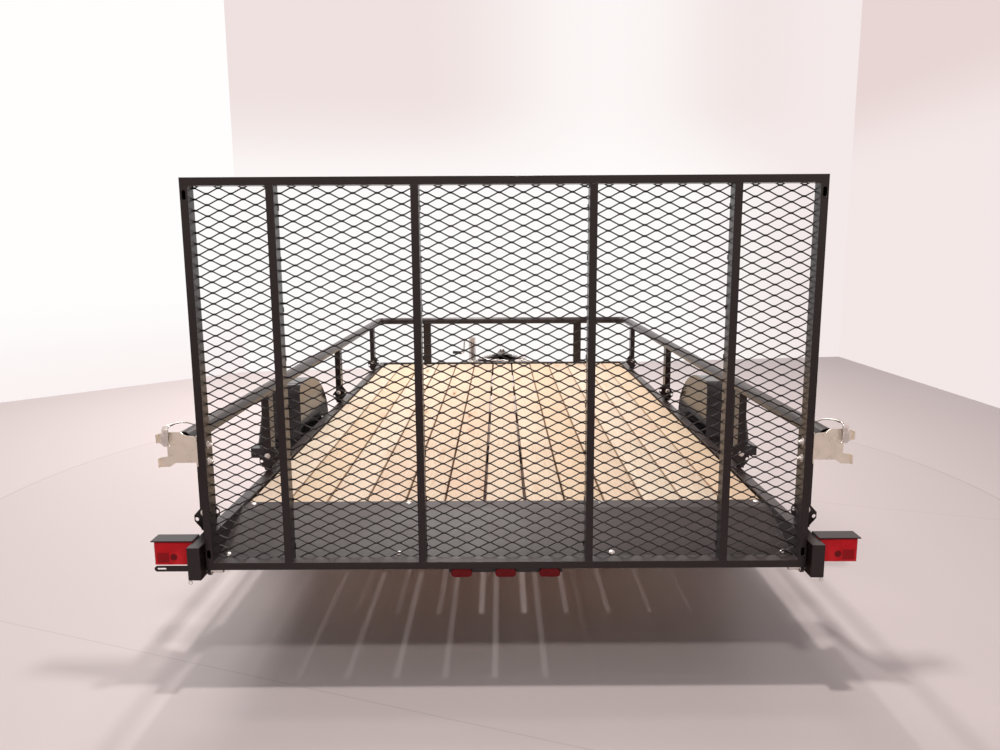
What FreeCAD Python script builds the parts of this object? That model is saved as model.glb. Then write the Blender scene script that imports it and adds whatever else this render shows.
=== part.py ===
"""Single-axle utility trailer with a wood deck, a tube top rail and an expanded-metal ramp gate.

Millimetres. +X is to the right, +Y towards the coupler, +Z up, and the floor is at Z = 0.
Places along the trailer are stations: distances ahead of the side rails' rear ends.
"""
import FreeCAD, Part
import Sketcher
import math
import os
import re
from types import SimpleNamespace
from FreeCAD import Placement, Rotation, Vector

doc = FreeCAD.newDocument("utility_trailer")

# ---------------------------------------------------------------- driving dimensions
# alias, value or the sum it follows from, what it is
DIMENSIONS = [
    ("bed_length", 3784, "side rails, from their rear ends to the front face of the frame"),
    ("tongue_reach", 1046, "front face of the frame to the coupler's nose"),
    ("inside_width", 1829, "clear width between the side rails"),
    ("rail_width", 38.1, "side rail tube, across"),
    ("rail_height", 101.6, "side rail tube, tall"),
    ("rail_wall", 3, "side rail tube wall"),
    ("rail_top", 480, "top of the side rails above the floor"),
    ("deck_top", 470, "top of the planks above the floor"),
    ("plank_width", 136, "deck plank, nominal 2x6 after drying"),
    ("plank_thick", 38.1, "deck plank"),
    ("wood_rear", 456, "station of the planks' rear ends"),
    ("end_gap", 1, "between the planks' ends and the steel"),
    ("cross_depth", 50.8, "crossmember channel, fore and aft"),
    ("cross_wall", 4, "crossmember channel wall"),
    ("cross_first", 415, "station of the rear face of the first deck crossmember"),
    ("plate_thick", 3, "rear steel plate"),
    ("plate_bend", 379, "station where the rear plate starts to slope down"),
    ("plate_rear", 114, "station of the rear plate's rear edge"),
    ("plate_drop", 86, "how far the rear plate slopes down"),
    ("plate_lip", 17, "turned-down lip along the rear plate's rear edge"),
    ("rear_cross", 150, "station of the rearmost crossmember"),
    ("gate_gap", 5, "between the gate and each side rail"),
    ("gate_rear", 30, "station of the gate's rear face"),
    ("gate_bottom", 398, "bottom of the gate above the floor"),
    ("gate_height", 1160, "gate frame, tall"),
    ("gate_tube", 22.2, "gate tube, across its rear face"),
    ("gate_depth", 44, "gate tube, fore and aft"),
    ("gate_wall", 2, "gate tube wall"),
    ("mesh_long", 70, "expanded-metal diamond, across"),
    ("mesh_short", 30.5, "expanded-metal diamond, tall"),
    ("strand", 3, "expanded-metal strand, wide"),
    ("mesh_layer", 1.5, "thickness of each run of strands"),
    ("hinge_height", 388, "gate hinge above the floor"),
    ("hinge_pin", 12.7, "gate hinge pin, diameter"),
    ("hinge_play", 0.05, "radial play at hinge pins and pivots"),
    ("pipe_size", 48.3, "top rail tube, outer diameter"),
    ("pipe_wall", 2.5, "top rail tube wall"),
    ("pipe_height", 805, "top rail's axis above the floor"),
    ("pipe_inset", 2.6, "top rail's axis, in from the side rail's outer face"),
    ("pipe_side", "=inside_width / 2 + rail_width - pipe_inset", "top rail's axis from the centre line"),
    ("pipe_rear", 34, "station of the top rail's open rear ends"),
    ("pipe_bend", 58, "radius of the top rail's front corners"),
    ("post_narrow", 30, "post channel, narrow side"),
    ("post_wide", 57, "post channel, wide side"),
    ("post_wall", 3, "post channel wall"),
    ("front_post_side", 580, "front posts from the centre line"),
    ("wheel_station", 1772, "axle"),
    ("tyre_size", 597, "tyre, outer diameter"),
    ("tyre_width", 177, "tyre section"),
    ("wheel_reach", 127.4, "side rail's outer face to the middle of the tyre"),
    ("wheel_side", "=inside_width / 2 + rail_width + wheel_reach", "middle of each tyre from the centre line"),
    ("rim_size", 330, "rim seat diameter, 13 inch"),
    ("stud_circle", 114.3, "wheel studs, 5 on this circle"),
    ("axle_tube", 60.3, "axle tube, outer diameter"),
    ("leaf_width", 44.5, "leaf spring, across"),
    ("leaf_thick", 7, "one leaf"),
    ("spring_reach", 330, "axle to each spring eye"),
    ("spring_rise", 76, "spring eyes above the main leaf's middle"),
    ("fender_gap", 28.4, "side rail's outer face to the fender's inner face"),
    ("fender_side", "=inside_width / 2 + rail_width + fender_gap", "fender's inner face from the centre line"),
    ("fender_width", 221, "fender, across at its foot"),
    ("fender_wall", 4, "fender sheet"),
    ("fender_height", 246, "top of the fender above the deck"),
    ("tongue_height", 76.2, "tongue channel, tall"),
    ("tongue_flange", 38, "tongue channel flange"),
    ("tongue_wall", 4.5, "tongue channel wall"),
    ("tongue_top", 425, "top of the tongue above the floor"),
    ("tongue_angle", 25, "each tongue member from the centre line, degrees"),
    ("apex_reach", 956, "front face of the frame to the tongue's apex"),
    ("ball_socket", 25.9, "coupler socket radius, for a 50.8 mm ball"),
    ("socket_wall", 6, "coupler socket wall"),
    ("jack_tube", 57, "jack outer tube, diameter"),
    ("jack_offset", 62, "jack's axis from the tongue's outer face"),
    ("jack_ahead", 531, "jack mount ahead of the frame"),
    ("jack_top", 610, "top of the jack above the floor"),
    ("lamp_width", 121, "tail light, across"),
    ("lamp_height", 76, "tail light, tall"),
]
sheet = doc.addObject("Spreadsheet::Sheet", "Sizes")
for row, (alias, value, meaning) in enumerate(DIMENSIONS, start=1):
    sheet.set(f"A{row}", meaning)
    sheet.set(f"B{row}", str(value))
    sheet.setAlias(f"B{row}", alias)
doc.recompute()
size = SimpleNamespace(**{alias: float(sheet.get(alias)) for alias, _, _ in DIMENSIONS})
ALIASES = {alias for alias, _, _ in DIMENSIONS}
REAR = "-(bed_length + tongue_reach) / 2"
rear = -(size.bed_length + size.tongue_reach) / 2


def cells(formula):
    """A formula in plain size names, as one that reads the sheet's cells."""
    return re.sub(r"[a-z_]+", lambda word: "Sizes." + word.group() if word.group() in ALIASES
                  else word.group(), str(formula))


def bind(thing, **formulas):
    for name, formula in formulas.items():
        thing.setExpression(name.replace("__", "."), cells(formula))
    return thing


def place(thing, x="0", station=None, z="0"):
    """Put a piece at formulas for X, its station along the trailer and its height."""
    y = "0" if station is None else f"{REAR} + {station}"
    for axis, formula in zip("xyz", (x, y, z)):
        thing.setExpression(f"Placement.Base.{axis}", cells(formula))
    return thing


def new(kind, label):
    thing = doc.addObject(kind, label)
    thing.Label = label
    return thing


def box(label, length, depth, height, x, station, z):
    """A block: its X, Y and Z sizes, then its low corner."""
    block = bind(new("Part::Box", label), Length=length, Width=depth, Height=height)
    return place(block, x, station, z)


def cut(label, base, *tools):
    result = base
    for index, tool in enumerate(tools):
        last = index == len(tools) - 1
        step = new("Part::Cut", label if last else f"{label}_cut_{index}")
        step.Base, step.Tool = result, tool
        result = step
    return result


def group(label, pieces):
    """Like pieces of one body, kept as solids that don't touch."""
    result = new("Part::Compound", label)
    result.Links = pieces
    return result


def mirror(label, source):
    """The right-hand piece from the left-hand one."""
    result = new("Part::Mirroring", label)
    result.Source = source
    result.Normal = Vector(1, 0, 0)
    return result


def feature(label, shape):
    result = new("Part::Feature", label)
    result.Shape = shape
    return result


def profile(label, plane, loops, length, circles=()):
    """A body padded from one sketch, whose corners and radii are bound to the sheet.

    plane XY pads up, XZ pads towards +Y and YZ pads towards +X.
    loops: outlines as lists of (u, v) formulas. circles: (u, v, radius) formulas.
    """
    body = new("PartDesign::Body", label)
    sketch = body.newObject("Sketcher::SketchObject", f"{label}_sketch")
    origin = [item for item in body.Origin.OriginFeatures if item.Role == f"{plane}_Plane"][0]
    sketch.AttachmentSupport = [(origin, "")]
    sketch.MapMode = "FlatFace"
    for loop in loops:
        first = sketch.GeometryCount
        count = len(loop)
        turns = [2 * math.pi * i / count for i in range(count)]
        spots = [(10 * math.cos(angle), 10 * math.sin(angle)) for angle in turns]
        for i in range(count):
            a, b = spots[i], spots[(i + 1) % count]
            sketch.addGeometry(Part.LineSegment(Vector(*a, 0), Vector(*b, 0)), False)
        for i in range(count):
            sketch.addConstraint(Sketcher.Constraint("Coincident", first + i, 2, first + (i + 1) % count, 1))
        for i, (u, v) in enumerate(loop):
            for direction, formula in (("DistanceX", u), ("DistanceY", v)):
                n = sketch.addConstraint(Sketcher.Constraint(direction, -1, 1, first + i, 1, 1.0))
                sketch.setExpression(f"Constraints[{n}]", cells(formula))
    for u, v, radius in circles:
        ring = sketch.addGeometry(Part.Circle(Vector(0, 0, 0), Vector(0, 0, 1), 5), False)
        for direction, formula in (("DistanceX", u), ("DistanceY", v)):
            n = sketch.addConstraint(Sketcher.Constraint(direction, -1, 1, ring, 3, 1.0))
            sketch.setExpression(f"Constraints[{n}]", cells(formula))
        n = sketch.addConstraint(Sketcher.Constraint("Radius", ring, 5.0))
        sketch.setExpression(f"Constraints[{n}]", cells(radius))
    pad = body.newObject("PartDesign::Pad", f"{label}_pad")
    pad.Profile = sketch
    pad.Reversed = plane == "XZ"
    pad.setExpression("Length", cells(length))
    sketch.Visibility = False
    return body


def tube_outline(width, height, wall):
    """Outer and inner outlines of a rectangular tube, from its low corner."""
    outer = [("0", "0"), (width, "0"), (width, height), ("0", height)]
    inner = [(wall, wall), (f"{width} - {wall}", wall), (f"{width} - {wall}", f"{height} - {wall}"),
             (wall, f"{height} - {wall}")]
    return [outer, inner]


def channel_outline(depth, height, wall):
    """A channel with its web on the vertical axis and its flanges towards +u."""
    return [[("0", "0"), (depth, "0"), (depth, wall), (wall, wall), (wall, f"{height} - {wall}"),
             (depth, f"{height} - {wall}"), (depth, height), ("0", height)]]


def round_bar(points, bend, radius):
    """A bar of round section: straight runs through the points, with bends of one radius."""
    spots = [Vector(*point) for point in points]

    def section(at, direction):
        return Part.Face(Part.Wire(Part.makeCircle(radius, at, direction)))

    pieces = []
    start = spots[0]
    for before, corner, after in zip(spots, spots[1:], spots[2:]):
        back = (before - corner).normalize()
        on = (after - corner).normalize()
        half_angle = back.getAngle(on) / 2
        reach = bend / math.tan(half_angle)
        bend_start = corner + back * reach
        pieces.append(section(start, back * -1).extrude(bend_start - start))
        centre = corner + (back + on).normalize() * (bend / math.sin(half_angle))
        turn_axis = (back * -1).cross(on)
        swept = 180 - math.degrees(2 * half_angle)
        pieces.append(section(bend_start, back * -1).revolve(centre, turn_axis, swept))
        start = corner + on * reach
    last = spots[-1] - start
    pieces.append(section(start, last).extrude(last))
    return pieces[0].fuse(pieces[1:]).removeSplitter()


def rod(points, radius, sides=8):
    """A flat-sided rod along points that lie in one plane, mitred where it turns."""
    spots = [Vector(*point) for point in points]
    runs = [(after - before).normalize() for before, after in zip(spots, spots[1:])]
    normal = runs[0].cross(runs[1]).normalize()
    rings = []
    for i, spot in enumerate(spots):
        before, after = runs[max(i - 1, 0)], runs[min(i, len(runs) - 1)]
        middle = (before + after).normalize()
        across = normal.cross(middle) * (1 / middle.dot(after))
        angles = [2 * math.pi * (k + 0.5) / sides for k in range(sides)]
        rings.append([spot + across * (radius * math.cos(a)) + normal * (radius * math.sin(a))
                      for a in angles])
    faces = [Part.Face(Part.makePolygon(ring + ring[:1])) for ring in (rings[0], rings[-1])]
    for low, high in zip(rings, rings[1:]):
        for k in range(sides):
            after = (k + 1) % sides
            faces.append(Part.Face(Part.makePolygon([low[k], low[after], high[after], high[k], low[k]])))
    solid = Part.Solid(Part.Shell(faces))
    if solid.Volume < 0:
        solid.reverse()
    return solid


def slab(points, thickness):
    """A flat polygon, given by its corners in space, thickened along a vector."""
    outline = Part.makePolygon([Vector(*point) for point in points + points[:1]])
    return Part.Face(outline).extrude(Vector(*thickness))


def hexagon(centre, width, length):
    """A hexagonal bar along +X from a centre, of a width across its flats."""
    corner = width / math.sqrt(3)
    angles = [math.radians(60 * k) for k in range(6)]
    outline = [(centre.x, centre.y + corner * math.cos(a), centre.z + corner * math.sin(a)) for a in angles]
    return slab(outline, (length, 0, 0))


def cylinder(radius, length, x, y, z, direction):
    """A cylinder from the middle of its start, along a direction."""
    return Part.makeCylinder(radius, length, Vector(x, y, z), Vector(*direction))


ACROSS, ALONG = (1, 0, 0), (0, 1, 0)


RAIL_BOTTOM = "(rail_top - rail_height)"
DECK_BOTTOM = "(deck_top - plank_thick)"
rail_bottom = size.rail_top - size.rail_height
rail_outside = size.inside_width / 2 + size.rail_width

# ---------------------------------------------------------------- side rails
# Rectangular tube, closed behind by a welded cap and bored across for the gate's hinge pin.
rail_tube = place(
    profile("rail_tube", "XZ", tube_outline("rail_width", "rail_height", "rail_wall"),
            "bed_length - rail_wall"),
    "-inside_width / 2 - rail_width", "rail_wall", RAIL_BOTTOM)
rail_cap = box("rail_cap", "rail_width", "rail_wall", "rail_height", "-inside_width / 2 - rail_width", "0",
               RAIL_BOTTOM)
rail_closed = new("Part::Fuse", "rail_closed")
rail_closed.Base, rail_closed.Tool = rail_tube, rail_cap
hinge_bore = place(
    profile("hinge_bore", "YZ", [], "rail_width * 3", [("0", "0", "hinge_pin / 2 + hinge_play")]),
    "-inside_width / 2 - rail_width * 2", "gate_rear + gate_depth / 2", "hinge_height")
side_rail_left = cut("side_rail_left", rail_closed, hinge_bore)
side_rail_right = mirror("side_rail_right", side_rail_left)

# ---------------------------------------------------------------- frame across
front_crossmember = place(
    profile("front_crossmember", "YZ", tube_outline("rail_width", "rail_height", "rail_wall"), "inside_width"),
    "-inside_width / 2", "bed_length - rail_width", RAIL_BOTTOM)

# Four channels under the planks, evenly spaced up to the front crossmember. The first one's
# web stands up behind the planks and carries the level part of the rear plate on a flange.
CROSS_HEIGHT = f"({DECK_BOTTOM} - {RAIL_BOTTOM})"
SEAT = "(wood_rear - end_gap - cross_first)"
SEAT_TOP = f"(deck_top - plate_thick - {RAIL_BOTTOM})"
stepped = channel_outline("cross_depth", CROSS_HEIGHT, "cross_wall")[0][:-1] + [
    ("cross_wall", CROSS_HEIGHT), ("cross_wall", f"{SEAT_TOP} - cross_wall"),
    (SEAT, f"{SEAT_TOP} - cross_wall"), (SEAT, SEAT_TOP), ("0", SEAT_TOP)]
DECK_CROSSMEMBERS = 4
cross_pieces = []
for i in range(DECK_CROSSMEMBERS):
    outline = channel_outline("cross_depth", CROSS_HEIGHT, "cross_wall") if i else [stepped]
    piece = profile(f"crossmember_{i + 1}", "YZ", outline, "inside_width")
    spacing = f"(bed_length - rail_width - cross_first) / {DECK_CROSSMEMBERS}"
    cross_pieces.append(place(piece, "-inside_width / 2", f"cross_first + {i} * {spacing}", RAIL_BOTTOM))

# ---------------------------------------------------------------- rear plate
# Level behind the planks, then sloping down to the gate, with a lip turned down along its edge.
SLOPE = "(plate_drop / (plate_bend - plate_rear))"
LOW_TOP = "(deck_top - plate_drop)"
rear_plate = place(
    profile("rear_plate", "YZ", [[
        ("plate_rear", f"{LOW_TOP} - plate_lip"),
        ("plate_rear + plate_thick", f"{LOW_TOP} - plate_lip"),
        ("plate_rear + plate_thick", f"{LOW_TOP} - plate_thick + plate_thick * {SLOPE}"),
        ("plate_bend", "deck_top - plate_thick"),
        ("wood_rear - end_gap", "deck_top - plate_thick"),
        ("wood_rear - end_gap", "deck_top"),
        ("plate_bend", "deck_top"),
        ("plate_rear", LOW_TOP)]], "inside_width"),
    "-inside_width / 2", "0", "0")

# The rearmost crossmember's top slopes with the plate that is bolted to it.
UNDER_PLATE = f"({LOW_TOP} - plate_thick + (rear_cross - plate_rear) * {SLOPE})"
rear_cross = profile("rear_cross", "YZ", [[
    ("0", "0"), ("cross_depth", "0"), ("cross_depth", "cross_wall"), ("cross_wall", "cross_wall"),
    ("cross_wall", f"{UNDER_PLATE} - {RAIL_BOTTOM} - cross_wall"),
    ("cross_depth", f"{UNDER_PLATE} - {RAIL_BOTTOM} - cross_wall + cross_depth * {SLOPE}"),
    ("cross_depth", f"{UNDER_PLATE} - {RAIL_BOTTOM} + cross_depth * {SLOPE}"),
    ("0", f"{UNDER_PLATE} - {RAIL_BOTTOM}")]], "inside_width")
cross_pieces.append(place(rear_cross, "-inside_width / 2", "rear_cross", RAIL_BOTTOM))
crossmembers = group("crossmembers", cross_pieces)

# ---------------------------------------------------------------- deck planks
# The joints share the width left over; the two beside the middle plank are wider than the rest.
plank_count = int(size.inside_width // size.plank_width)
MIDDLE_JOINT = 2
narrow_joint = (size.inside_width - plank_count * size.plank_width) / (plank_count - 1 + 2 * MIDDLE_JOINT)
plank_pieces = []
plank_x = -size.inside_width / 2 + narrow_joint
for i in range(plank_count):
    joint_after = MIDDLE_JOINT if i - plank_count // 2 in (-1, 0) else 1
    plank_pieces.append(box(f"plank_{i + 1}", "plank_width",
                            "bed_length - rail_width - end_gap - wood_rear", "plank_thick",
                            plank_x, "wood_rear", DECK_BOTTOM))
    plank_x += size.plank_width + joint_after * narrow_joint
deck_planks = group("deck_planks", plank_pieces)

# ---------------------------------------------------------------- top rail and its posts
FRONT_PIPE = "(bed_length - rail_width / 2)"
front_pipe = rear + size.bed_length - size.rail_width / 2
pipe_radius = size.pipe_size / 2
pipe_bore = pipe_radius - size.pipe_wall
RETURN = 8
SLEEVE = 40
SLEEVE_PLAY = 0.15
corner_end = -size.pipe_side + size.pipe_bend + RETURN
pipe_start = rear + size.pipe_rear
side_pipe = round_bar([(-size.pipe_side, pipe_start, size.pipe_height),
                       (-size.pipe_side, front_pipe, size.pipe_height),
                       (corner_end, front_pipe, size.pipe_height)], size.pipe_bend, pipe_radius)
side_pipe = side_pipe.cut(cylinder(pipe_bore, front_pipe - size.pipe_bend - pipe_start,
                                   -size.pipe_side, pipe_start, size.pipe_height, ALONG))
side_pipe = side_pipe.fuse(cylinder(pipe_bore - SLEEVE_PLAY, SLEEVE, corner_end, front_pipe,
                                    size.pipe_height, ACROSS))
top_rail_left = feature("top_rail_left", side_pipe)
top_rail_right = mirror("top_rail_right", top_rail_left)

# The front run is a straight tube pushed over the reduced ends of both corners.
run, run_bore = [cylinder(radius, -2 * corner_end, corner_end, front_pipe, size.pipe_height, ACROSS)
                 for radius in (pipe_radius, pipe_bore)]
front_rail = feature("front_rail", run.cut(run_bore))

# Posts stand on the rails and are cut to the pipe they carry. Station of each rear face:
POST_STATIONS = (152, 821, 2200, 3400)
post_height = "pipe_height - rail_top"
post_pieces = []
for i, station in enumerate(POST_STATIONS):
    post = profile(f"side_post_{i + 1}", "XY", tube_outline("post_narrow", "post_wide", "post_wall"),
                   post_height)
    post_pieces.append(place(post, "-pipe_side - post_narrow / 2", str(station), "rail_top"))
side_saddle = place(profile("side_saddle", "XZ", [], "bed_length", [("0", "0", "pipe_size / 2")]),
                    "-pipe_side", "0", "pipe_height")
left_posts = cut("left_posts", group("left_posts_square", post_pieces), side_saddle)
side_posts = group("side_posts", [left_posts, mirror("right_posts", left_posts)])

front_square = place(profile("front_post_square", "XY", tube_outline("post_wide", "post_narrow", "post_wall"),
                             post_height),
                     "-front_post_side - post_wide / 2", f"{FRONT_PIPE} - post_narrow / 2", "rail_top")
front_saddle = place(profile("front_saddle", "YZ", [], "inside_width",
                             [("0", "0", "pipe_size / 2")]),
                     "-inside_width / 2", FRONT_PIPE, "pipe_height")
front_post = cut("front_post_left", front_square, front_saddle)
front_posts = group("front_posts", [front_post, mirror("front_post_right", front_post)])

# A slanting plate across the back of each side post's foot, drilled at both ends for lashings.
LASHING_PLATE = 5
LASHING_HOLE = 6.5
# outline and holes: across from the rail's middle, above the rail
LASHING_OUTLINE = [(-23, 0), (-49, 32), (-49, 51), (-31, 71), (5, 100), (31, 68), (31, 49), (13, 29)]
LASHING_HOLES = [(-41.5, 37.5), (23.5, 62.5)]


def lashing_plate(station):
    x = -rail_outside + size.rail_width / 2
    y = rear + station - LASHING_PLATE
    plate = slab([(x + across, y, size.rail_top + up) for across, up in LASHING_OUTLINE], (0, LASHING_PLATE, 0))
    for across, up in LASHING_HOLES:
        plate = plate.cut(cylinder(LASHING_HOLE, LASHING_PLATE, x + across, y, size.rail_top + up, ALONG))
    return plate


left_feet = feature("left_feet", Part.makeCompound([lashing_plate(station) for station in POST_STATIONS]))
post_feet = group("post_feet", [left_feet, mirror("right_feet", left_feet)])

# ---------------------------------------------------------------- tongue
# Channels with their webs outside, mitred to the frame in front and to each other at the apex.
tongue_channel = profile("tongue_channel", "XZ",
                         channel_outline("tongue_flange", "tongue_height", "tongue_wall"), "tongue_reach * 2")
apex = rear + size.bed_length + size.apex_reach
lean = math.radians(size.tongue_angle)
foot_x = -size.apex_reach * math.tan(lean)
tongue_channel.Placement = Placement(
    Vector(foot_x - size.tongue_reach / 2 * math.sin(lean),
           rear + size.bed_length - size.tongue_reach / 2 * math.cos(lean),
           size.tongue_top - size.tongue_height),
    Rotation(Vector(0, 0, 1), -size.tongue_angle))
tongue_space = box("tongue_space", "inside_width / 2", "tongue_reach", "rail_top", "-inside_width / 2",
                   "bed_length", "0")
tongue_left = new("Part::Common", "tongue_left")
tongue_left.Base, tongue_left.Tool = tongue_channel, tongue_space
tongue_right = mirror("tongue_right", tongue_left)

# ---------------------------------------------------------------- coupler
# A plate on the A-frame, a hollow neck and a cup that closes over the ball from above.
socket_outer = size.ball_socket + size.socket_wall
socket_y = rear + size.bed_length + size.tongue_reach - socket_outer
COUPLER_PLATE = 6
PLATE_LENGTH = 190
NOSE_HALF, NOSE_BACK = 40, 60
NECK_HALF, NECK_TALL, NECK_WALL = 32, 44, 5
MOUTH_DROP, SOCKET_DEPTH = 30, 22
plate_back = apex - PLATE_LENGTH
plate_half = PLATE_LENGTH * math.tan(lean)
half_plate = [(plate_half, plate_back), (NOSE_HALF, apex - NOSE_BACK), (NECK_HALF, socket_y)]
cheek = slab([(x, y, size.tongue_top) for x, y in half_plate]
             + [(-x, y, size.tongue_top) for x, y in half_plate[::-1]], (0, 0, COUPLER_PLATE))
neck_low = size.tongue_top - NECK_TALL
neck = Part.makeBox(2 * NECK_HALF, socket_y - apex - 1, NECK_TALL, Vector(-NECK_HALF, apex + 1, neck_low))
neck = neck.cut(Part.makeBox(2 * (NECK_HALF - NECK_WALL), socket_y - apex, NECK_TALL,
                             Vector(-NECK_HALF + NECK_WALL, apex, neck_low)))
socket_mouth = size.tongue_top - MOUTH_DROP
socket_dome = Vector(0, socket_y, socket_mouth + SOCKET_DEPTH)
cup = Part.makeCylinder(socket_outer, SOCKET_DEPTH, Vector(0, socket_y, socket_mouth))
cup = cup.fuse(Part.makeCone(socket_outer, socket_outer / 2, socket_outer, socket_dome))
inside = Part.makeCylinder(size.ball_socket, SOCKET_DEPTH, Vector(0, socket_y, socket_mouth))
inside = inside.fuse(Part.makeCone(size.ball_socket, size.ball_socket / 2, size.ball_socket, socket_dome))
coupler = feature("coupler", cheek.fuse(neck).fuse(cup).cut(inside).removeSplitter())

# The latch lever lies along the coupler's top and stands up at its rear.
LEVER_WIDTH = 18
# behind the apex, above the coupler's plate
LEVER_OUTLINE = [(120, 0), (20, 0), (20, 10), (60, 14), (112, 46), (120, 40), (78, 10), (120, 6)]
lever_base = size.tongue_top + COUPLER_PLATE
coupler_latch = feature("coupler_latch", slab(
    [(-LEVER_WIDTH / 2, apex - back, lever_base + up) for back, up in LEVER_OUTLINE], (LEVER_WIDTH, 0, 0)))

# ---------------------------------------------------------------- jack
# Bolted outside the left tongue member: it swings up on a pivot and stands on a plain foot.
ahead = Vector(math.sin(lean), math.cos(lean), 0)
outward = Vector(-math.cos(lean), math.sin(lean), 0)
member_point = Vector(foot_x + size.jack_ahead * math.tan(lean), rear + size.bed_length + size.jack_ahead,
                      size.tongue_top - size.tongue_height / 2)
jack_axis = member_point + outward * size.jack_offset
turned = Placement(member_point, Rotation(ahead, outward, Vector(0, 0, 1), "XYZ"))
BRACKET = (100, 6, 76)
PIVOT_RADIUS = 14
BOSS_RADIUS = 24
jack_radius = size.jack_tube / 2
bracket = Part.makeBox(*BRACKET, Vector(-BRACKET[0] / 2, 0, -BRACKET[2] / 2))
pivot = cylinder(PIVOT_RADIUS, size.jack_offset - jack_radius - 2, 0, 0, 0, ALONG)
jack_bracket = feature("jack_bracket", bracket.fuse(pivot).removeSplitter())
jack_bracket.Placement = turned

boss_near = BRACKET[1] + 1
boss = cylinder(BOSS_RADIUS, size.jack_offset - boss_near, 0, boss_near, 0, ALONG)
TUBE_WALL = 3
TUBE_LOW = 178
tube_base = TUBE_LOW - jack_axis.z
tube_top = size.jack_top - jack_axis.z
outer = Part.makeCylinder(jack_radius, tube_top - tube_base, Vector(0, size.jack_offset, tube_base))
bore_radius = jack_radius - TUBE_WALL
bore = Part.makeCylinder(bore_radius, tube_top - tube_base - TUBE_WALL,
                         Vector(0, size.jack_offset, tube_base))
pivot_bore = cylinder(PIVOT_RADIUS + size.hinge_play, size.jack_offset - jack_radius - 1, 0, 0, 0, ALONG)
jack_tube = feature("jack_tube", outer.fuse(boss).cut(bore).cut(pivot_bore).removeSplitter())
jack_tube.Placement = turned

# The crank's shaft runs into the head of the tube from outside.
CRANK_DROP, CRANK_RADIUS, CRANK_THROW = 26, 6.5, 112
GRIP_RADIUS, GRIP_LONG = 13, 78
# outwards from the tube, down from the shaft
CRANK_BENDS = [(0, 0), (38, 0), (46, 8), (54, CRANK_THROW - 8), (62, CRANK_THROW), (82, CRANK_THROW)]
GRIP_START = 76
crank_z = tube_top - CRANK_DROP
crank_start = size.jack_offset + jack_radius
crank = rod([(0, crank_start + out, crank_z - down) for out, down in CRANK_BENDS], CRANK_RADIUS)
grip = cylinder(GRIP_RADIUS, GRIP_LONG, 0, crank_start + GRIP_START, crank_z - CRANK_THROW, ALONG)
jack_crank = feature("jack_crank", crank.fuse(grip).removeSplitter())
jack_crank.Placement = turned

LEG_PLAY, LEG_LONG = 0.5, 440
FOOT_THICK, FOOT_RADIUS = 5, 52
leg_radius = bore_radius - LEG_PLAY
leg_start = Vector(0, size.jack_offset, FOOT_THICK - jack_axis.z)
leg = Part.makeCylinder(leg_radius, LEG_LONG, leg_start)
leg = leg.cut(Part.makeCylinder(leg_radius - TUBE_WALL, LEG_LONG, leg_start))
foot = Part.makeCylinder(FOOT_RADIUS, FOOT_THICK, Vector(0, size.jack_offset, -jack_axis.z))
jack_leg = feature("jack_leg", leg.fuse(foot).removeSplitter())
jack_leg.Placement = turned

# ---------------------------------------------------------------- wheels
axle_y = rear + size.wheel_station
tyre_radius = size.tyre_size / 2
rim_radius = size.rim_size / 2
middle = Vector(-size.wheel_side, axle_y, tyre_radius)


def turn(outline):
    """Turn an outline about the left wheel's axis; its points are distance across and radius."""
    face = Part.Face(Part.makePolygon([Vector(x, 0, z) for x, z in outline + outline[:1]]))
    face.translate(middle)
    return face.revolve(middle, Vector(*ACROSS), 360)


# half of each outline, outwards from the wheel's middle: distance across, radius
half = size.tyre_width / 2
RIM_HALF = 57
RIM_WALL = 3
FLANGE = 9
WELL = 22
BEAD = RIM_HALF - RIM_WALL - 1
WIDEST = 58
SHOULDER_IN, SHOULDER_DROP = 9, 20
TREAD_IN = 27
tyre_half = [(BEAD, rim_radius), (BEAD, rim_radius + FLANGE), (half, rim_radius + WIDEST),
             (half - SHOULDER_IN, tyre_radius - SHOULDER_DROP), (half - TREAD_IN, tyre_radius)]
tyre_left = feature("tyre_left", turn([(-x, z) for x, z in tyre_half] + tyre_half[::-1]))
tyre_right = mirror("tyre_right", tyre_left)

# The rim's barrel steps in where the disc joins it, and the disc bolts to the hub's face.
DISC_FACE = -22
DISC = 5
DISC_FLAT = 115
HUB_HOLE = 42
STEP_FROM, STEP_TO = -15, 29
barrel = rim_radius - RIM_WALL
rim = turn([(-RIM_HALF, rim_radius + FLANGE), (-RIM_HALF + RIM_WALL, rim_radius),
            (RIM_HALF - RIM_WALL, rim_radius), (RIM_HALF, rim_radius + FLANGE), (RIM_HALF, barrel),
            (STEP_TO, barrel), (STEP_TO, barrel - WELL), (STEP_FROM + DISC, barrel - WELL),
            (DISC_FACE, DISC_FLAT), (DISC_FACE, HUB_HOLE), (DISC_FACE - DISC, HUB_HOLE),
            (DISC_FACE - DISC, DISC_FLAT), (STEP_FROM, barrel - WELL), (STEP_FROM, barrel),
            (-RIM_HALF, barrel)])

# Five studs and nuts hold the disc, which has a round vent beside each one.
STUDS = 5
STUD_WIDTH, STUD_PLAY = 12, 0.2
NUT_WIDTH, NUT_LONG = 19, 17
VENT_RADIUS, VENT_CIRCLE = 12, 95


def around(across, radius, degrees):
    """A place about the left wheel's axis: distance across, radius and angle from straight back."""
    angle = math.radians(degrees)
    return middle + Vector(across, radius * math.cos(angle), radius * math.sin(angle))


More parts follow.
